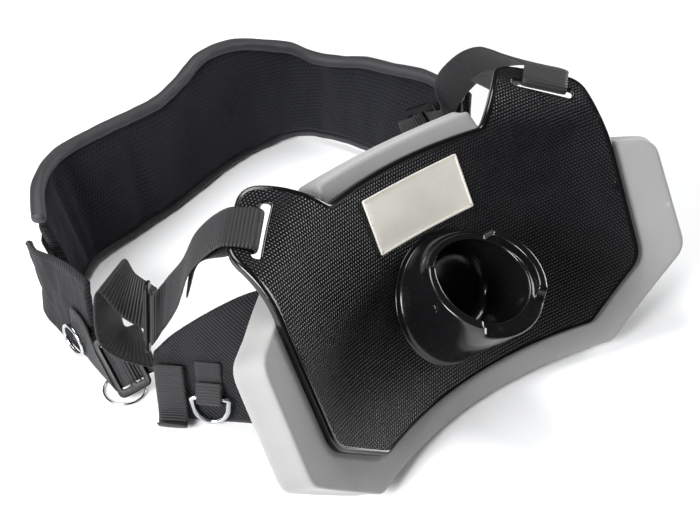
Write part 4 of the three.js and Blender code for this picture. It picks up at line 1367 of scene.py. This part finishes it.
BELT_ROWS = [
    WallRow(-0.85, 0.846, 0.007, -0.165, -0.055, 0.86), WallRow(-0.79, 0.862, 0.007, -0.14, 0.0, 0.94),
    WallRow(-0.69, 0.895, 0.007, -0.075, 0.035, 0.945), WallRow(-0.52, 0.912, 0.007, -0.02, 0.041, 0.94),
    WallRow(-0.34, 0.928, 0.007, 0, 0.033, 0.935), WallRow(-0.2, 0.943, 0.007, 0, 0.025, 0.94),
    WallRow(-0.06, 0.962, 0.007, 0, 0.02, 1.0), WallRow(0.08, 0.983, 0.007, 0, 0.015, 1.08),
    WallRow(0.26, 1.002, 0.007, 0, -0.005, 1.075), WallRow(0.42, 1.005, 0.007, 0.02, -0.03, 0.99),
    WallRow(0.53, 0.995, 0.03, 0.01, -0.038, 0.93), WallRow(0.63, 0.965, 0.045, -0.02, -0.045, 0.86),
    WallRow(0.69, 0.905, 0.065, -0.01, -0.045, 0.87), WallRow(0.735, 0.835, 0.08, 0, -0.02, 0.9),
    WallRow(0.775, 0.755, 0.08, 0.01, -0.01, 0.92), WallRow(0.83, 0.66, 0.06, 0.02, 0, 0.94),
    WallRow(0.88, 0.56, 0.05, 0, 0, 0.9),
]
WING_ROWS = {
    "left": [
        WallRow(-0.965, 0.868, 0.12, -0.052, -0.01, 0.53), WallRow(-1.045, 0.8, 0.05, -0.01, -0.01, 0.63),
        WallRow(-1.05, 0.72, 0.02, 0.01, 0, 0.69), WallRow(-1.05, 0.66, 0.02, 0.02, 0, 0.73),
        WallRow(-1.045, 0.605, 0.03, 0.02, 0, 0.73),
    ],
    "right": [
        WallRow(0.93, 0.77, 0.14, 0.01, 0, 0.66), WallRow(0.975, 0.71, 0.08, 0, 0, 0.7),
        WallRow(1.025, 0.66, 0.03, 0, 0, 0.73), WallRow(1.045, 0.605, 0.03, -0.02, 0, 0.73),
    ],
}
PANEL_MIDDLE = WallRow(0, 0.107, 0.03, 0, 0.172, 0.9)
PANEL_HALF = [
    WallRow(0.2, 0.103, 0.02, 0, 0.17, 0.9), WallRow(0.4, 0.118, 0.007, 0, 0.145, 0.94),
    WallRow(0.58, 0.185, 0.007, 0, 0.075, 1.04), WallRow(0.75, 0.277, 0.007, 0, 0.01, 1.03),
    WallRow(0.93, 0.372, 0.007, 0, 0, 0.73), WallRow(0.99, 0.408, 0.02, 0, 0, 0.55),
]


def inflate(obj: bpy.types.Object, loose: Array, pressure: float, cap: float, frames: int = 20) -> None:
    """Swells a closed cloth piece by simulation and writes the result into its mesh.

    Args:
        obj: the piece, without modifiers.
        loose: for each point, 0 where it is sewn down and 1 where it is free.
        pressure: the pressure inside.
        cap: the most that a point may move, in metres.
        frames: how long the cloth swells.
    """
    group = obj.vertex_groups.new(name="sewn")
    for index, value in enumerate(1 - loose):
        if value > 0.01:
            group.add([index], float(value), "REPLACE")
    cloth = obj.modifiers.new("cloth", "CLOTH")
    settings = cloth.settings
    settings.vertex_group_mass = "sewn"
    settings.use_pressure = True
    settings.uniform_pressure_force = pressure
    settings.effector_weights.gravity = 0
    settings.tension_stiffness = 40
    settings.compression_stiffness = 40
    settings.bending_stiffness = 8
    settings.quality = 6
    scene = bpy.context.scene
    rest = np.empty(len(obj.data.vertices) * 3)
    obj.data.vertices.foreach_get("co", rest)
    for number in range(1, frames + 1):
        scene.frame_set(number)
    evaluated = obj.evaluated_get(bpy.context.evaluated_depsgraph_get())
    swollen = np.empty_like(rest)
    evaluated.data.vertices.foreach_get("co", swollen)
    move = (swollen - rest).reshape(-1, 3)
    length = np.linalg.norm(move, axis=1, keepdims=True)
    move *= np.minimum(1, cap / np.maximum(length, 1e-9))
    obj.modifiers.remove(cloth)
    obj.vertex_groups.remove(group)
    obj.data.vertices.foreach_set("co", rest + move.ravel())
    obj.data.update()
    scene.frame_set(1)
    log.info("%s swelled by up to %.1f mm", obj.name, float(np.linalg.norm(move, axis=1).max() * 1000))


# Creases over the lining: where along the belt, and how wide and deep in millimetres
CREASES = [(0.085, 5.0, 5.5), (0.115, 6.0, 2.5), (0.25, 6.0, 4.6), (0.4, 12.0, 2.4), (0.56, 12.0, 2.4),
           (0.7, 8.0, 3.2), (0.83, 8.0, 2.6)]


@dataclass
class ClothSlab:
    """A double layer of cloth with a bound rim and folds."""

    name: str
    node: str
    rows: list[WallRow]
    steps: int
    thick: float
    seed: int
    rests_on: str
    soft: float
    rim_wide: float = 5.5
    fold_size: float = 44.0

    def build(self, finishes: Finishes) -> None:
        """Makes the cloth."""
        wall = ClothWall(self.rows, self.steps)
        share = np.linspace(0, 1, 26)
        edge = np.minimum(share, 1 - share) * np.mean(wall.tall)
        roll = 0.55 * np.sin(np.clip(edge / self.rim_wide, 0, 1) * math.pi) + 0.1
        rim = np.where(edge < self.rim_wide, roll, 0.0)
        half = self.thick / 2 * (0.62 + 0.3 * smooth_step(0, 2.4, edge)) + rim
        half[[0, -1]] *= 0.55
        share = np.concatenate([share, share[::-1]])
        sections = wall.sections(np.concatenate([-half, half[::-1]]), share)
        free = smooth_step(0, 8, edge)
        free = np.tile(np.concatenate([free, free[::-1]]), len(sections))
        flat = sections.reshape(-1, 3)
        folds = wrinkle(flat * np.array([1.0, 1.0, 0.5]), self.seed, self.fold_size) * self.soft
        flat = flat + np.repeat(wall.across, len(share), axis=0) * (folds * free)[:, None]
        sections = flat.reshape(sections.shape)
        sections[..., 2] = np.maximum(sections[..., 2], 0.0)
        obj = build_object(self.name, swept(sections, weave=wall.coordinates(share)), [finishes.cloth])
        register(obj, "cloth", self.node)


@dataclass
class WaistBelt:
    """Padded belt with a mesh lining, bound edges, outer webbing, cloth wings and a front panel."""

    thick: float = 11.0
    head_tape: float = 13.4
    foot_tape: float = 13.4
    head_tall: float = 10.0
    foot_tall: float = 6.0
    edge_half: float = 1.6
    swell: float = 2.8
    tuck: float = 0.3
    fold_size: float = 40.0
    fold_deep: float = 1.3
    pressure: float = 4.0
    most_move: float = 0.0032
    web_gap: float = 1.2
    web_low: float = 0.36

    def __post_init__(self) -> None:
        """Sets up the belt's wall."""
        self.wall = ClothWall(BELT_ROWS, 176)

    def dip(self) -> Array:
        """How deep the creases are at each upright, in millimetres."""
        length = self.wall.run[-1]
        run = self.wall.run / length
        total = np.zeros(len(run))
        for at, width, depth in CREASES:
            total += depth * np.exp(-0.5 * ((run - at) * length / width) ** 2)
        return total[:, None]

    def folds(self, share: Array, seed: int) -> Array:
        """Seeded ups and downs over the wall, longer up it than along it, from -1 to 1."""
        middle = self.wall.sections(0.0, share)
        stretched = middle.reshape(-1, 3) * np.array([1.0, 1.0, 0.3])
        return wrinkle(stretched, seed, self.fold_size).reshape(middle.shape[:2])

    def loose(self, share: Array) -> Array:
        """How free each point of the body is: 0 on the sewn edges and creases, and 1 far from them.

        Args:
            share: how far up the wall each point of a section is.
        Returns:
            A value for each point of the body, with its two end hubs last.
        """
        edge = np.minimum(share, 1 - share)
        free = np.tile(smooth_step(0.0, 0.12, edge), len(self.wall.run))
        run = np.repeat(self.wall.run, len(share))
        for at, width, depth in CREASES:
            near = np.exp(-0.5 * ((run - at * self.wall.run[-1]) / (width * 0.5)) ** 2)
            free = free * (1 - near * min(1.0, depth / 2.4))
        return np.concatenate([free, [0, 0]])

    def body(self, finishes: Finishes) -> None:
        """The padded body, swollen by simulation between its sewn edges."""
        count = 24
        share = np.linspace(0, 1, count)
        full = np.clip(1 - (2 * share - 1) ** 8, 0, 1)
        lift = np.interp(share, [0, 1], [self.foot_tall + self.tuck, -self.head_tall - self.tuck])
        half = (self.edge_half + self.swell * full)[None]
        mesh_folds = self.folds(share, 11) * self.fold_deep * full[None]
        inner_side = -half + self.dip() * full[None] * 0.8 + mesh_folds
        outer_side = np.broadcast_to(half, inner_side.shape)
        side = np.hstack([inner_side, outer_side[:, ::-1]])
        share = np.concatenate([share, share[::-1]])
        lift = np.concatenate([lift, lift[::-1]])
        surface = swept(
            self.wall.sections(side, share, lift), weave=self.wall.coordinates(share, lift),
            finish=np.repeat([0, 1], count),
        )
        obj = build_object("belt_body", surface, [finishes.mesh, finishes.cloth])
        inflate(obj, self.loose(share), self.pressure, self.most_move)
        register(obj, "mesh", "belt_pad")

    def tape(self, name: str, node: str, head: bool, finishes: Finishes) -> None:
        """A rolled tape over the head or foot of the belt.

        Args:
            name: the piece's name.
            node: the solid that it replaces.
            head: true for the head and false for the foot.
            finishes: the belt's materials.
        """
        angle = circle(18)
        tall = self.head_tall if head else self.foot_tall
        half = self.head_tape / 2 if head else self.foot_tape / 2
        flat = np.sign(np.cos(angle)) * np.abs(np.cos(angle)) ** 0.75
        rise = np.sign(np.sin(angle)) * np.abs(np.sin(angle)) ** 0.75
        middle = -tall / 2 if head else tall / 2
        pucker = 0.5 * np.sin(self.wall.run / 3.1) + 0.5 * np.sin(self.wall.run / 7.7)
        side = flat[None] * (half + pucker[:, None] * 0.6) * (0.86 if head else 0.9)
        lift = np.broadcast_to(middle + rise * tall / 2 * (1.04 if head else 1.0), side.shape)
        share = np.full(len(angle), 1.0 if head else 0.0)
        sections = self.wall.sections(side, share, lift)
        sections[..., 2] = np.maximum(sections[..., 2], 0.0)
        around = half * angle
        weave = np.stack(np.broadcast_arrays(around[None], self.wall.run[:, None]), -1)
        obj = build_object(name, swept(sections, weave=weave), [finishes.tape])
        register(obj, "cloth", node)

    def webbing(self, finishes: Finishes) -> None:
        """A flat webbing sewn round the outside of the belt."""
        gap, count = self.thick / 2 + self.web_gap, 9
        rise = np.linspace(0, WEB_WIDTH, count)
        rise = np.concatenate([rise, rise[::-1]])
        side = np.repeat([gap, gap + WEB_THICK], count)
        side[[0, count - 1]] += 0.5
        side[[count, -1]] -= 0.5
        wave = 0.35 * np.sin(self.wall.run / 19.0)[:, None]
        sections = self.wall.sections(side[None] + wave, np.full(2 * count, self.web_low), rise)
        weave = np.stack(np.broadcast_arrays(rise[None], self.wall.run[:, None]), -1)
        obj = build_object("belt_web", swept(sections, weave=weave), [finishes.web])
        register(obj, "webbing", "belt_webbing")

    def build(self, finishes: Finishes) -> None:
        """Makes every part of the belt."""
        self.body(finishes)
        self.tape("belt_head_tape", "belt_binding_top", True, finishes)
        self.tape("belt_foot_tape", "belt_binding_foot", False, finishes)
        self.webbing(finishes)
        panel_rows = [*(row.mirrored() for row in reversed(PANEL_HALF)), PANEL_MIDDLE, *PANEL_HALF]
        for slab in (
            ClothSlab("wing_left", "belt_wing_left", WING_ROWS["left"], steps=36, thick=5.0, seed=3,
                      rests_on="strap_lower_left", soft=2.8),
            ClothSlab("wing_right", "belt_wing_right", WING_ROWS["right"], steps=30, thick=5.0, seed=5,
                      rests_on="strap_lower_right", soft=1.6),
            ClothSlab("panel", "front_panel", panel_rows, steps=120, thick=4.0, seed=9,
                      rests_on="foam_block", soft=1.1),
        ):
            slab.build(finishes)


# Webbing straps and their hardware

@dataclass(frozen=True)
class Spot:
    """A point on a strap's route with the way of its width, as shares of the belt's sizes."""

    x: float
    y: float
    z: float
    wx: float
    wy: float
    wz: float

    def place(self, side: float) -> Array:
        """The point in millimetres on one side of the belt."""
        return belt_spot(side * self.x, self.y, self.z)

    def wide(self, side: float) -> Array:
        """The way of the strap's width on that side."""
        return np.array([side * self.wx, self.wy, self.wz])


@dataclass(frozen=True)
class Seat:
    """Where a slider sits, with the way of its long side and of the strap through it."""

    x: float
    y: float
    z: float
    lx: float
    ly: float
    lz: float
    rx: float
    ry: float
    rz: float

    def frame(self, side: float) -> tuple[Array, Array, Array, Array]:
        """Centre, long side, run and face on one side of the belt.

        Args:
            side: 1 for the right side and -1 for the left.
        Returns:
            The centre in millimetres and three ways.
        """
        long = unit(np.array([side * self.lx, self.ly, self.lz]))
        run = np.array([side * self.rx, self.ry, self.rz])
        run = unit(run - long * (run @ long))
        return belt_spot(side * self.x, self.y, self.z), long, run, np.cross(long, run) * side


# Half of a slider's rail, and of its windows' edge, as (inset, drop from the face)
RAIL_CURVE = [(1.3, 0.0), (0.8, 0.05), (0.35, 0.25), (0.08, 0.7), (0.0, 1.1)]
WINDOW_CURVE = [(0.9, 0.0), (0.5, 0.08), (0.2, 0.3), (0.0, 0.8)]


@dataclass
class Slider:
    """A moulded three-bar slider."""

    name: str
    node: str
    seat: Seat
    side: float
    long: float = 52.0
    short: float = 30.0
    thick: float = 3.0
    rail: float = 4.8
    corner: float = 6.0
    window: float = 39.0
    window_corner: float = 1.6

    def box(self, half: float, low: float, high: float, cut: float, steps: int, step: float) -> Array:
        """A rounded rectangle about the slider's middle."""
        corners = [(x, y, cut) for x, y in ((-half, low), (half, low), (half, high), (-half, high))]
        return respaced(rounded_outline(corners, steps), step)

    def both_faces(self, curve: list[tuple[float, float]]) -> list[tuple[float, float]]:
        """An edge from the front's face to the back's."""
        t = self.thick / 2
        front = [(away, t - drop) for away, drop in curve]
        return front + [(away, -level) for away, level in reversed(front)]

    def build(self, finishes: Finishes) -> None:
        """Makes the slider with rounded rails."""
        b = self.short / 2
        near, far = self.rail / 2, b - self.rail
        windows = [self.box(self.window / 2, low, high, self.window_corner, 4, 1.6)
                   for low, high in ((-far, -near), (near, far))]
        sheet = PressedSheet(
            self.box(self.long / 2, -b, b, self.corner, 6, 1.8), self.both_faces(RAIL_CURVE),
            windows, self.both_faces(WINDOW_CURVE), grid=2.6, edge_finish=0,
        )
        surface = sheet.surface()
        centre, long, run, _ = self.seat.frame(self.side)
        surface.points = centre + surface.points @ np.array([long, run, np.cross(long, run)])
        register(build_object(self.name, surface, [finishes.satin]), "slider", self.node)


def strap_section(width: float, selvedge: float = 0.06, count: int = 13) -> Array:
    """A flat band's section with soft selvedges, as (across, off the middle).

    Args:
        width: the band's width.
        selvedge: the share of the half width that is thinner.
        count: how many points each face has.
    Returns:
        The section's points, once round.
    """
    across = np.linspace(-0.5, 0.5, count) * width
    past = np.maximum(0, np.abs(across) / (width / 2) - (1 - selvedge)) / selvedge
    half = WEB_THICK / 2 * np.sqrt(np.clip(1 - past ** 2 * 0.7, 0.1, 1))
    top = np.column_stack([across, half])
    bottom = np.column_stack([across[::-1], -half[::-1]])
    return np.vstack([top, bottom])


def strap(places: Array, wides: Array, width: float, step: float = 2.5, soft: int = 2,
          phase: float = 1.0) -> Surface:
    """A flat strap through points.

    Args:
        places: the middle line's points, in millimetres.
        wides: the way of the strap's width at each.
        width: the strap's width.
        step: the spacing of its sections.
        soft: how many sections a turn of the width is spread over.
        phase: where the small waves in it begin, in radians.
    Returns:
        A closed surface with weave coordinates.
    """
    last = len(places) - 1
    fine_count = last * 12 + 1
    fine = spline(places, np.linspace(0, 1, fine_count))
    wide = interpolated(np.linspace(0, last, fine_count), np.arange(last + 1), unit(wides))
    run = lengths_along(fine)
    at = np.linspace(0, run[-1], max(6, int(run[-1] / step)) + 1)
    line, wide = interpolated(at, run, fine), interpolated(at, run, wide)
    wide = unit(blurred(unit(wide), soft))
    out = unit(np.cross(unit(np.gradient(line, axis=0)), wide))
    section = strap_section(width)
    sag = 0.25 * np.sin(at / 11.0 + phase)[:, None] * (1 - (section[:, 0] / (width / 2)) ** 2)[None]
    sections = (line[:, None] + wide[:, None] * section[None, :, :1]
                + out[:, None] * (section[None, :, 1:] + sag[..., None]))
    weave = np.stack(np.broadcast_arrays(section[None, :, 0], at[:, None]), -1)
    return swept(sections, weave=weave)


# Over the ear, as (out from its fold, off its middle)
EAR_PATH = [(61, -9.3), (54, -7.3), (47, -5.3), (43, -4.8), (40, -3.9), (38.4, -1.6), (39.3, 0.4),
            (42, 1.5), (48, 1.6), (55, 1.6), (62, 1.6)]
# Round a slider's bars, as (shares of its short side, shares of the strap's depth there)
SLIDER_WEAVE = [(-0.8, -1.7), (-0.5, -1.3), (-0.28, -0.66), (-0.14, 0.66), (0, 1), (0.14, 0.66),
                (0.28, -0.66), (0.5, -1.3), (0.8, -1.7)]
# Where the strap on the wing lies: how far from the wing's end and how high, and how loose
WING_PATH = [(0.01, 0.29, 1.2), (0.14, 0.33, 0.0), (0.27, 0.36, 0.0)]
LOWER_SEAT = Seat(1.02, 0.515, 0.23, 0, -0.74, -0.67, 0.75, 0.45, -0.5)


@dataclass
class StrapSide:
    """The strap of one side, over the plate's ear and down through two sliders."""

    label: str
    side: float
    stance: Stance
    back: list[Spot]
    front: list[Spot]
    upper: Seat
    loop: list[Spot]
    slider_deep: float = 2.79
    slider_short: float = 30.0
    slant: float = 0.18
    slot_along: float = 0.478
    slot_middle: float = 38.0
    wing_half: float = 2.5
    wing_gap: float = 0.6

    def ear_row(self, out: float, lift: float) -> tuple[Array, Array]:
        """A point over the ear and the way of the strap's width there.

        Args:
            out: how far out from the ear's fold, in millimetres.
            lift: how far off the plate's face.
        Returns:
            The point and the way.
        """
        st = self.stance
        along = self.slot_along * st.fold_length + self.slant * (out - self.slot_middle)
        spots = []
        for step in (0, -9, 9):
            off = out - self.slant * step
            flat = st.ear_spot(along + step, off)
            turn, radius = off / st.ear_bend, st.ear_bend + lift
            reach = radius * math.sin(turn) - off
            level = radius * math.cos(turn) - st.ear_bend
            p = st.bent(np.array([[*(flat + st.out * reach), level]]))
            p[:, 0] *= self.side
            spots.append(st.stood(p)[0])
        return spots[0], spots[2] - spots[1]

    def through(self, spots: list[Spot]) -> list[tuple[Array, Array]]:
        """The strap's way through free points."""
        return [(spot.place(self.side), spot.wide(self.side)) for spot in spots]

    def woven(self, seat: Seat) -> list[tuple[Array, Array]]:
        """The strap's way under and over a slider's bars."""
        centre, long, run, face = seat.frame(self.side)
        return [(centre + run * r * self.slider_short + face * f * self.slider_deep, long)
                for r, f in SLIDER_WEAVE]

    def build(self, finishes: Finishes) -> None:
        """Makes the strap and its sliders."""
        label = self.label
        rows = self.through(self.back) + [self.ear_row(out, lift) for out, lift in EAR_PATH]
        rows += self.through(self.front) + self.woven(self.upper)
        rows += self.through(self.loop) + self.woven(LOWER_SEAT)[:-1]
        places, wides = (np.array([r[k] for r in rows]) for k in (0, 1))
        obj = build_object(f"web_upper_{label}", strap(places, wides, WEB_WIDTH), [finishes.web])
        register(obj, "webbing", f"strap_upper_{label}")
        Slider(f"slider_top_{label}", f"slider_upper_{label}", self.upper, self.side).build(finishes)
        Slider(f"slider_low_{label}", f"buckle_lower_{label}", LOWER_SEAT, self.side).build(finishes)
        self.lower(finishes)

    def lower(self, finishes: Finishes) -> None:
        """The short strap from the lower slider on to the wing."""
        centre, long, run, face = LOWER_SEAT.frame(self.side)
        steps = 60
        wall = ClothWall(WING_ROWS[self.label], steps)
        rows = [(centre + run * (self.slider_short / 2 + self.wing_gap), long, face)]
        for start, share, loose in WING_PATH:
            index = int(round((1 - start) * steps))
            out = wall.across[index] * np.sign(wall.across[index][0]) * self.side
            place = wall.low[index] + (wall.high[index] - wall.low[index]) * share
            off = self.wing_half + WEB_THICK / 2 + self.wing_gap + loose
            rows.append((place + out * off, -wall.rise[index], out))
        section = strap_section(WEB_WIDTH)
        corners = np.array([[p + w * a + o * b for a, b in section] for p, w, o in rows])
        shares = np.linspace(0, 1, 25)
        sections = np.stack([spline(corners[:, k], shares) for k in range(len(section))], 1)
        along = lengths_along(sections.mean(1))
        weave = np.stack(np.broadcast_arrays(section[None, :, 0], along[:, None]), -1)
        obj = build_object(f"web_lower_{self.label}", swept(sections, weave=weave), [finishes.web])
        register(obj, "webbing", f"strap_lower_{self.label}")


# Ring shapes within -1 to 1
ROUND = [(math.cos(math.pi * i / 6), math.sin(math.pi * i / 6)) for i in range(12)]
DEE = [(-1, 0.95), (-0.5, 1), (0, 1), (0.5, 1), (1, 0.95), (1, 0.45), (0.93, -0.1), (0.7, -0.6),
       (0.36, -0.9), (0, -1), (-0.36, -0.9), (-0.7, -0.6), (-0.93, -0.1), (-1, 0.45)]
# A tab's loop, as (rise in widths of the webbing, off the panel)
TAB_LOOP = [(1.85, 3.5), (1.3, 3.4), (0.85, 3.3), (0.76, 4.2), (0.735, 6.6), (0.76, 9), (0.85, 9.9),
            (1.05, 8.6), (1.3, 5.7)]
# The left strap's loose end, as shares of the belt's sizes
TAIL_PATH = [(-0.975, 0.375, 0.5), (-0.98, 0.371, 0.34), (-0.982, 0.37, 0.18), (-0.987, 0.368, 0.08),
             (-1.0, 0.361, 0.035), (-1.015, 0.353, 0.09)]


def wire_ring(centre: Array, across: Array, up: Array, wide: float, tall: float, wire: float,
              outline: list[tuple[float, float]]) -> Surface:
    """A closed ring of round wire.

    Args:
        centre: its middle, in millimetres.
        across: the way of its width.
        up: roughly the way of its height.
        wide: width between the wire's middle lines.
        tall: height between them.
        wire: the wire's thickness.
        outline: the ring's shape within -1 to 1.
    Returns:
        The closed surface.
    """
    across = unit(across)
    up = unit(up - across * (up @ across))
    spots = np.array([centre + across * a * wide / 2 + up * b * tall / 2 for a, b in outline])
    loop = np.vstack([spots[-2:], spots, spots[:2]])
    count = len(spots)
    shares = (np.arange(count * 8) / 8 + 2) / (len(loop) - 1)
    line = spline(loop, shares)
    ahead = unit(np.roll(line, -1, axis=0) - np.roll(line, 1, axis=0))
    normal = np.cross(across, up)
    side = unit(np.cross(ahead, normal))
    angle = circle(14)
    sections = (line[:, None] + side[:, None] * (np.cos(angle) * wire / 2)[None, :, None]
                + normal[None, None] * (np.sin(angle) * wire / 2)[None, :, None])
    return swept(sections, closed=True)


@dataclass
class Hardware:
    """Tabs with their rings, the loose rings and the strap's tail."""

    wire: float = 4.2
    thin_wire: float = 3.36
    floor_wire: float = 1.8
    ring_wide: float = 28.0
    ring_tall: float = 25.0
    tab_share: float = 0.55
    tail_share: float = 0.62

    def tab_ring(self, label: str, side: float, finishes: Finishes) -> None:
        """A webbing tab on the panel with a ring in its loop.

        Args:
            label: left or right.
            side: 1 for the right side and -1 for the left.
            finishes: the belt's materials.
        """
        run = np.array([side * 0.688, 0.726, 0.0])
        out = np.array([side * 0.726, -0.688, 0.0])
        foot = belt_spot(side * 0.852, 0.331, 0.0)
        up = np.array([0.0, 0.0, 1.0])
        places = np.array([foot + out * off + up * rise * WEB_WIDTH for rise, off in TAB_LOOP])
        wides = np.tile(run, (len(places), 1))
        surface = strap(places, wides, WEB_WIDTH * self.tab_share, step=1.2, soft=0, phase=4.0)
        register(build_object(f"web_tab_{label}", surface, [finishes.web]), "webbing", f"tab_{label}")
        centre = foot + out * 6.6 + belt_spot(0, 0, 0.148)
        ring = wire_ring(centre, run, up, self.ring_wide, self.ring_tall, self.wire, DEE)
        register(build_object(f"ring_tab_{label}", ring, [finishes.steel]), "steel", f"d_ring_{label}")

    def loose_rings(self, finishes: Finishes) -> None:
        """The ring on the left wing, the one behind the belt and the thin one on the table."""
        low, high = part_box("ring_wing_left")
        middle = np.array([low, high]).mean(0) * 1000 - SHIFT
        wide, tall, wire = self.ring_wide, self.ring_tall, self.thin_wire
        rings = [
            ("ring_wing", "ring_wing_left", middle, (0, 1, 0), (0, 0, 1), wide, tall, wire),
            ("ring_back", "ring_belt_back", belt_spot(0.26, 1.029, 0.9), (1, -0.05, 0), (0, 0, 1),
             wide, wide, wire),
            ("ring_floor", "ring_thin", belt_spot(-1.03, 0.5125, 0.0085), (0, 1, 0), (1, 0, 0),
             35.1, 32.4, self.floor_wire),
        ]
        for name, node, centre, across, up, *sizes in rings:
            surface = wire_ring(centre, np.array(across, float), np.array(up, float), *sizes, ROUND)
            register(build_object(name, surface, [finishes.steel]), "steel", node)

    def tail(self, finishes: Finishes) -> None:
        """The left strap's loose end, curled up at the table."""
        places = np.array([belt_spot(*spot) for spot in TAIL_PATH])
        wides = np.tile([-0.7, 0.7, 0.0], (len(places), 1))
        surface = strap(places, wides, WEB_WIDTH * self.tail_share, step=1.8, soft=1, phase=2.0)
        register(build_object("web_tail", surface, [finishes.web]), "webbing", "strap_tail_left")

    def build(self, finishes: Finishes) -> None:
        """Makes tabs, rings and the tail."""
        self.tab_ring("left", -1.0, finishes)
        self.tab_ring("right", 1.0, finishes)
        self.loose_rings(finishes)
        self.tail(finishes)


@dataclass
class Studio:
    """Table, soft lights and the camera."""

    eye: tuple = (-536.481, -467.144, 747.469)
    azimuth: float = -40.0755
    elevation: float = 39.9494
    lens: float = 66.857
    dim_way: tuple = (0.3, -0.93, 0.22)
    dim_edge: tuple = (0.45, 0.93)
    glow: float = 1.15
    dim: float = 0.03
    table_half: float = 6.0

    def camera(self) -> None:
        """The camera at the photograph's angle."""
        data = bpy.data.cameras.new("camera")
        data.sensor_width = 36.0
        data.lens = self.lens
        camera = bpy.data.objects.new("camera", data)
        camera.location = tuple(to_row(np.array(self.eye)))
        camera.rotation_euler = (math.radians(90 - self.elevation), 0, math.radians(self.azimuth))
        bpy.context.scene.collection.objects.link(camera)
        bpy.context.scene.camera = camera

    def area(self, name: str, place: tuple, aim: tuple, size: float, power: float) -> None:
        """A square soft light that faces a point.

        Args:
            name: the light's name.
            place: where it stands, in metres.
            aim: the point that it faces.
            size: the length of its sides, in metres.
            power: its power in watts.
        """
        data = bpy.data.lights.new(name, "AREA")
        data.size = size
        data.energy = power
        lamp = bpy.data.objects.new(name, data)
        lamp.location = place
        way = unit(np.array(aim, float) - np.array(place, float))
        lamp.rotation_euler = (math.acos(-way[2]), 0, math.atan2(way[1], way[0]) - math.pi / 2)
        bpy.context.scene.collection.objects.link(lamp)

    def sky(self, tree: bpy.types.NodeTree) -> None:
        """A bright room with a dim part low in front, as the black plastic mirrors it.

        Args:
            tree: the world's nodes.
        """
        coords = tree.nodes.new("ShaderNodeTexCoord")
        facing = tree.nodes.new("ShaderNodeVectorMath")
        facing.operation = "DOT_PRODUCT"
        facing.inputs[1].default_value = tuple(unit(np.array(self.dim_way)))
        tree.links.new(coords.outputs["Generated"], facing.inputs[0])
        dim = tree.nodes.new("ShaderNodeMapRange")
        dim.interpolation_type = "SMOOTHSTEP"
        for key, value in zip(RANGE_INPUTS, (*self.dim_edge, self.glow, self.dim)):
            dim.inputs[key].default_value = value
        tree.links.new(facing.outputs["Value"], dim.inputs["Value"])
        tree.links.new(dim.outputs["Result"], tree.nodes["Background"].inputs["Strength"])

    def build(self, finishes: Finishes) -> None:
        """Makes the table, the sky and the lights."""
        mesh = bpy.data.meshes.new("table")
        bm = bmesh.new()
        bmesh.ops.create_grid(bm, x_segments=8, y_segments=8, size=self.table_half)
        bm.to_mesh(mesh)
        bm.free()
        table = bpy.data.objects.new("table", mesh)
        mesh.materials.append(finishes.table)
        bpy.context.scene.collection.objects.link(table)
        world = bpy.data.worlds.new("studio")
        world.use_nodes = True
        self.sky(world.node_tree)
        bpy.context.scene.world = world
        self.area("light_over", place=(-0.1, 0.5, 1.6), aim=(0, 0, 0), size=0.8, power=24.0)
        self.area("light_right", place=(1.5, -0.3, 0.35), aim=(0, 0, 0.1), size=0.8, power=26.0)
        self.area("light_left", place=(-1.5, -0.35, 0.85), aim=(0, 0, 0.1), size=0.7, power=52.0)
        bpy.context.scene.view_settings.view_transform = "Standard"


# The two straps' routes, in shares of the belt's sizes, as if both were on the right
STRAPS = {
    "left": dict(
        side=-1.0,
        back=[Spot(0.84, 0.375, 1.1, 0.58, -0.58, -0.5), Spot(0.81, 0.345, 1.36, 0.7, -0.68, -0.15)],
        front=[Spot(0.852, 0.342, 1.35, 0.7, -0.68, -0.25), Spot(0.892, 0.37, 1.08, 0.58, -0.58, -0.5),
               Spot(0.925, 0.403, 0.88, 0.45, -0.48, -0.75)],
        upper=Seat(0.955, 0.445, 0.72, 0.36, -0.43, -0.83, -0.45, 0.66, -0.56),
        loop=[Spot(0.945, 0.515, 0.72, 0.6, -0.45, -0.6), Spot(0.985, 0.54, 0.87, 0.92, -0.38, -0.08),
              Spot(1.03, 0.525, 0.72, 0.92, -0.38, 0), Spot(1.035, 0.515, 0.46, 0.8, -0.5, 0.25)],
    ),
    "right": dict(
        side=1.0,
        back=[Spot(0.76, 0.44, 1.22, 0.75, -0.1, -0.6), Spot(0.77, 0.37, 1.4, 0.75, -0.45, -0.4)],
        front=[Spot(0.805, 0.375, 1.5, 0.75, -0.4, -0.4), Spot(0.81, 0.45, 1.4, 0.65, -0.25, -0.65),
               Spot(0.79, 0.515, 1.2, 0.5, -0.3, -0.75), Spot(0.765, 0.555, 0.93, 0.38, -0.4, -0.8)],
        upper=Seat(0.745, 0.585, 0.64, 0.3, -0.45, -0.84, -0.1, 0.35, -0.95),
        loop=[Spot(0.79, 0.58, 0.33, 0.35, -0.5, -0.75), Spot(0.86, 0.52, 0.3, 0.15, -0.65, -0.7),
              Spot(0.94, 0.5, 0.3, 0, -0.7, -0.7)],
    ),
}


def main() -> None:
    """Builds the studio and every sub-assembly in order."""
    finishes = Finishes()
    studio = Studio()
    studio.camera()
    studio.build(finishes)
    stance = Stance()
    RodPlate(stance).build(finishes)
    Badge(stance).build(finishes)
    FoamPad(stance).build(finishes)
    WaistBelt().build(finishes)
    for label, spots in STRAPS.items():
        StrapSide(label=label, stance=stance, **spots).build(finishes)
    Hardware().build(finishes)


if __name__ == "__main__":
    main()
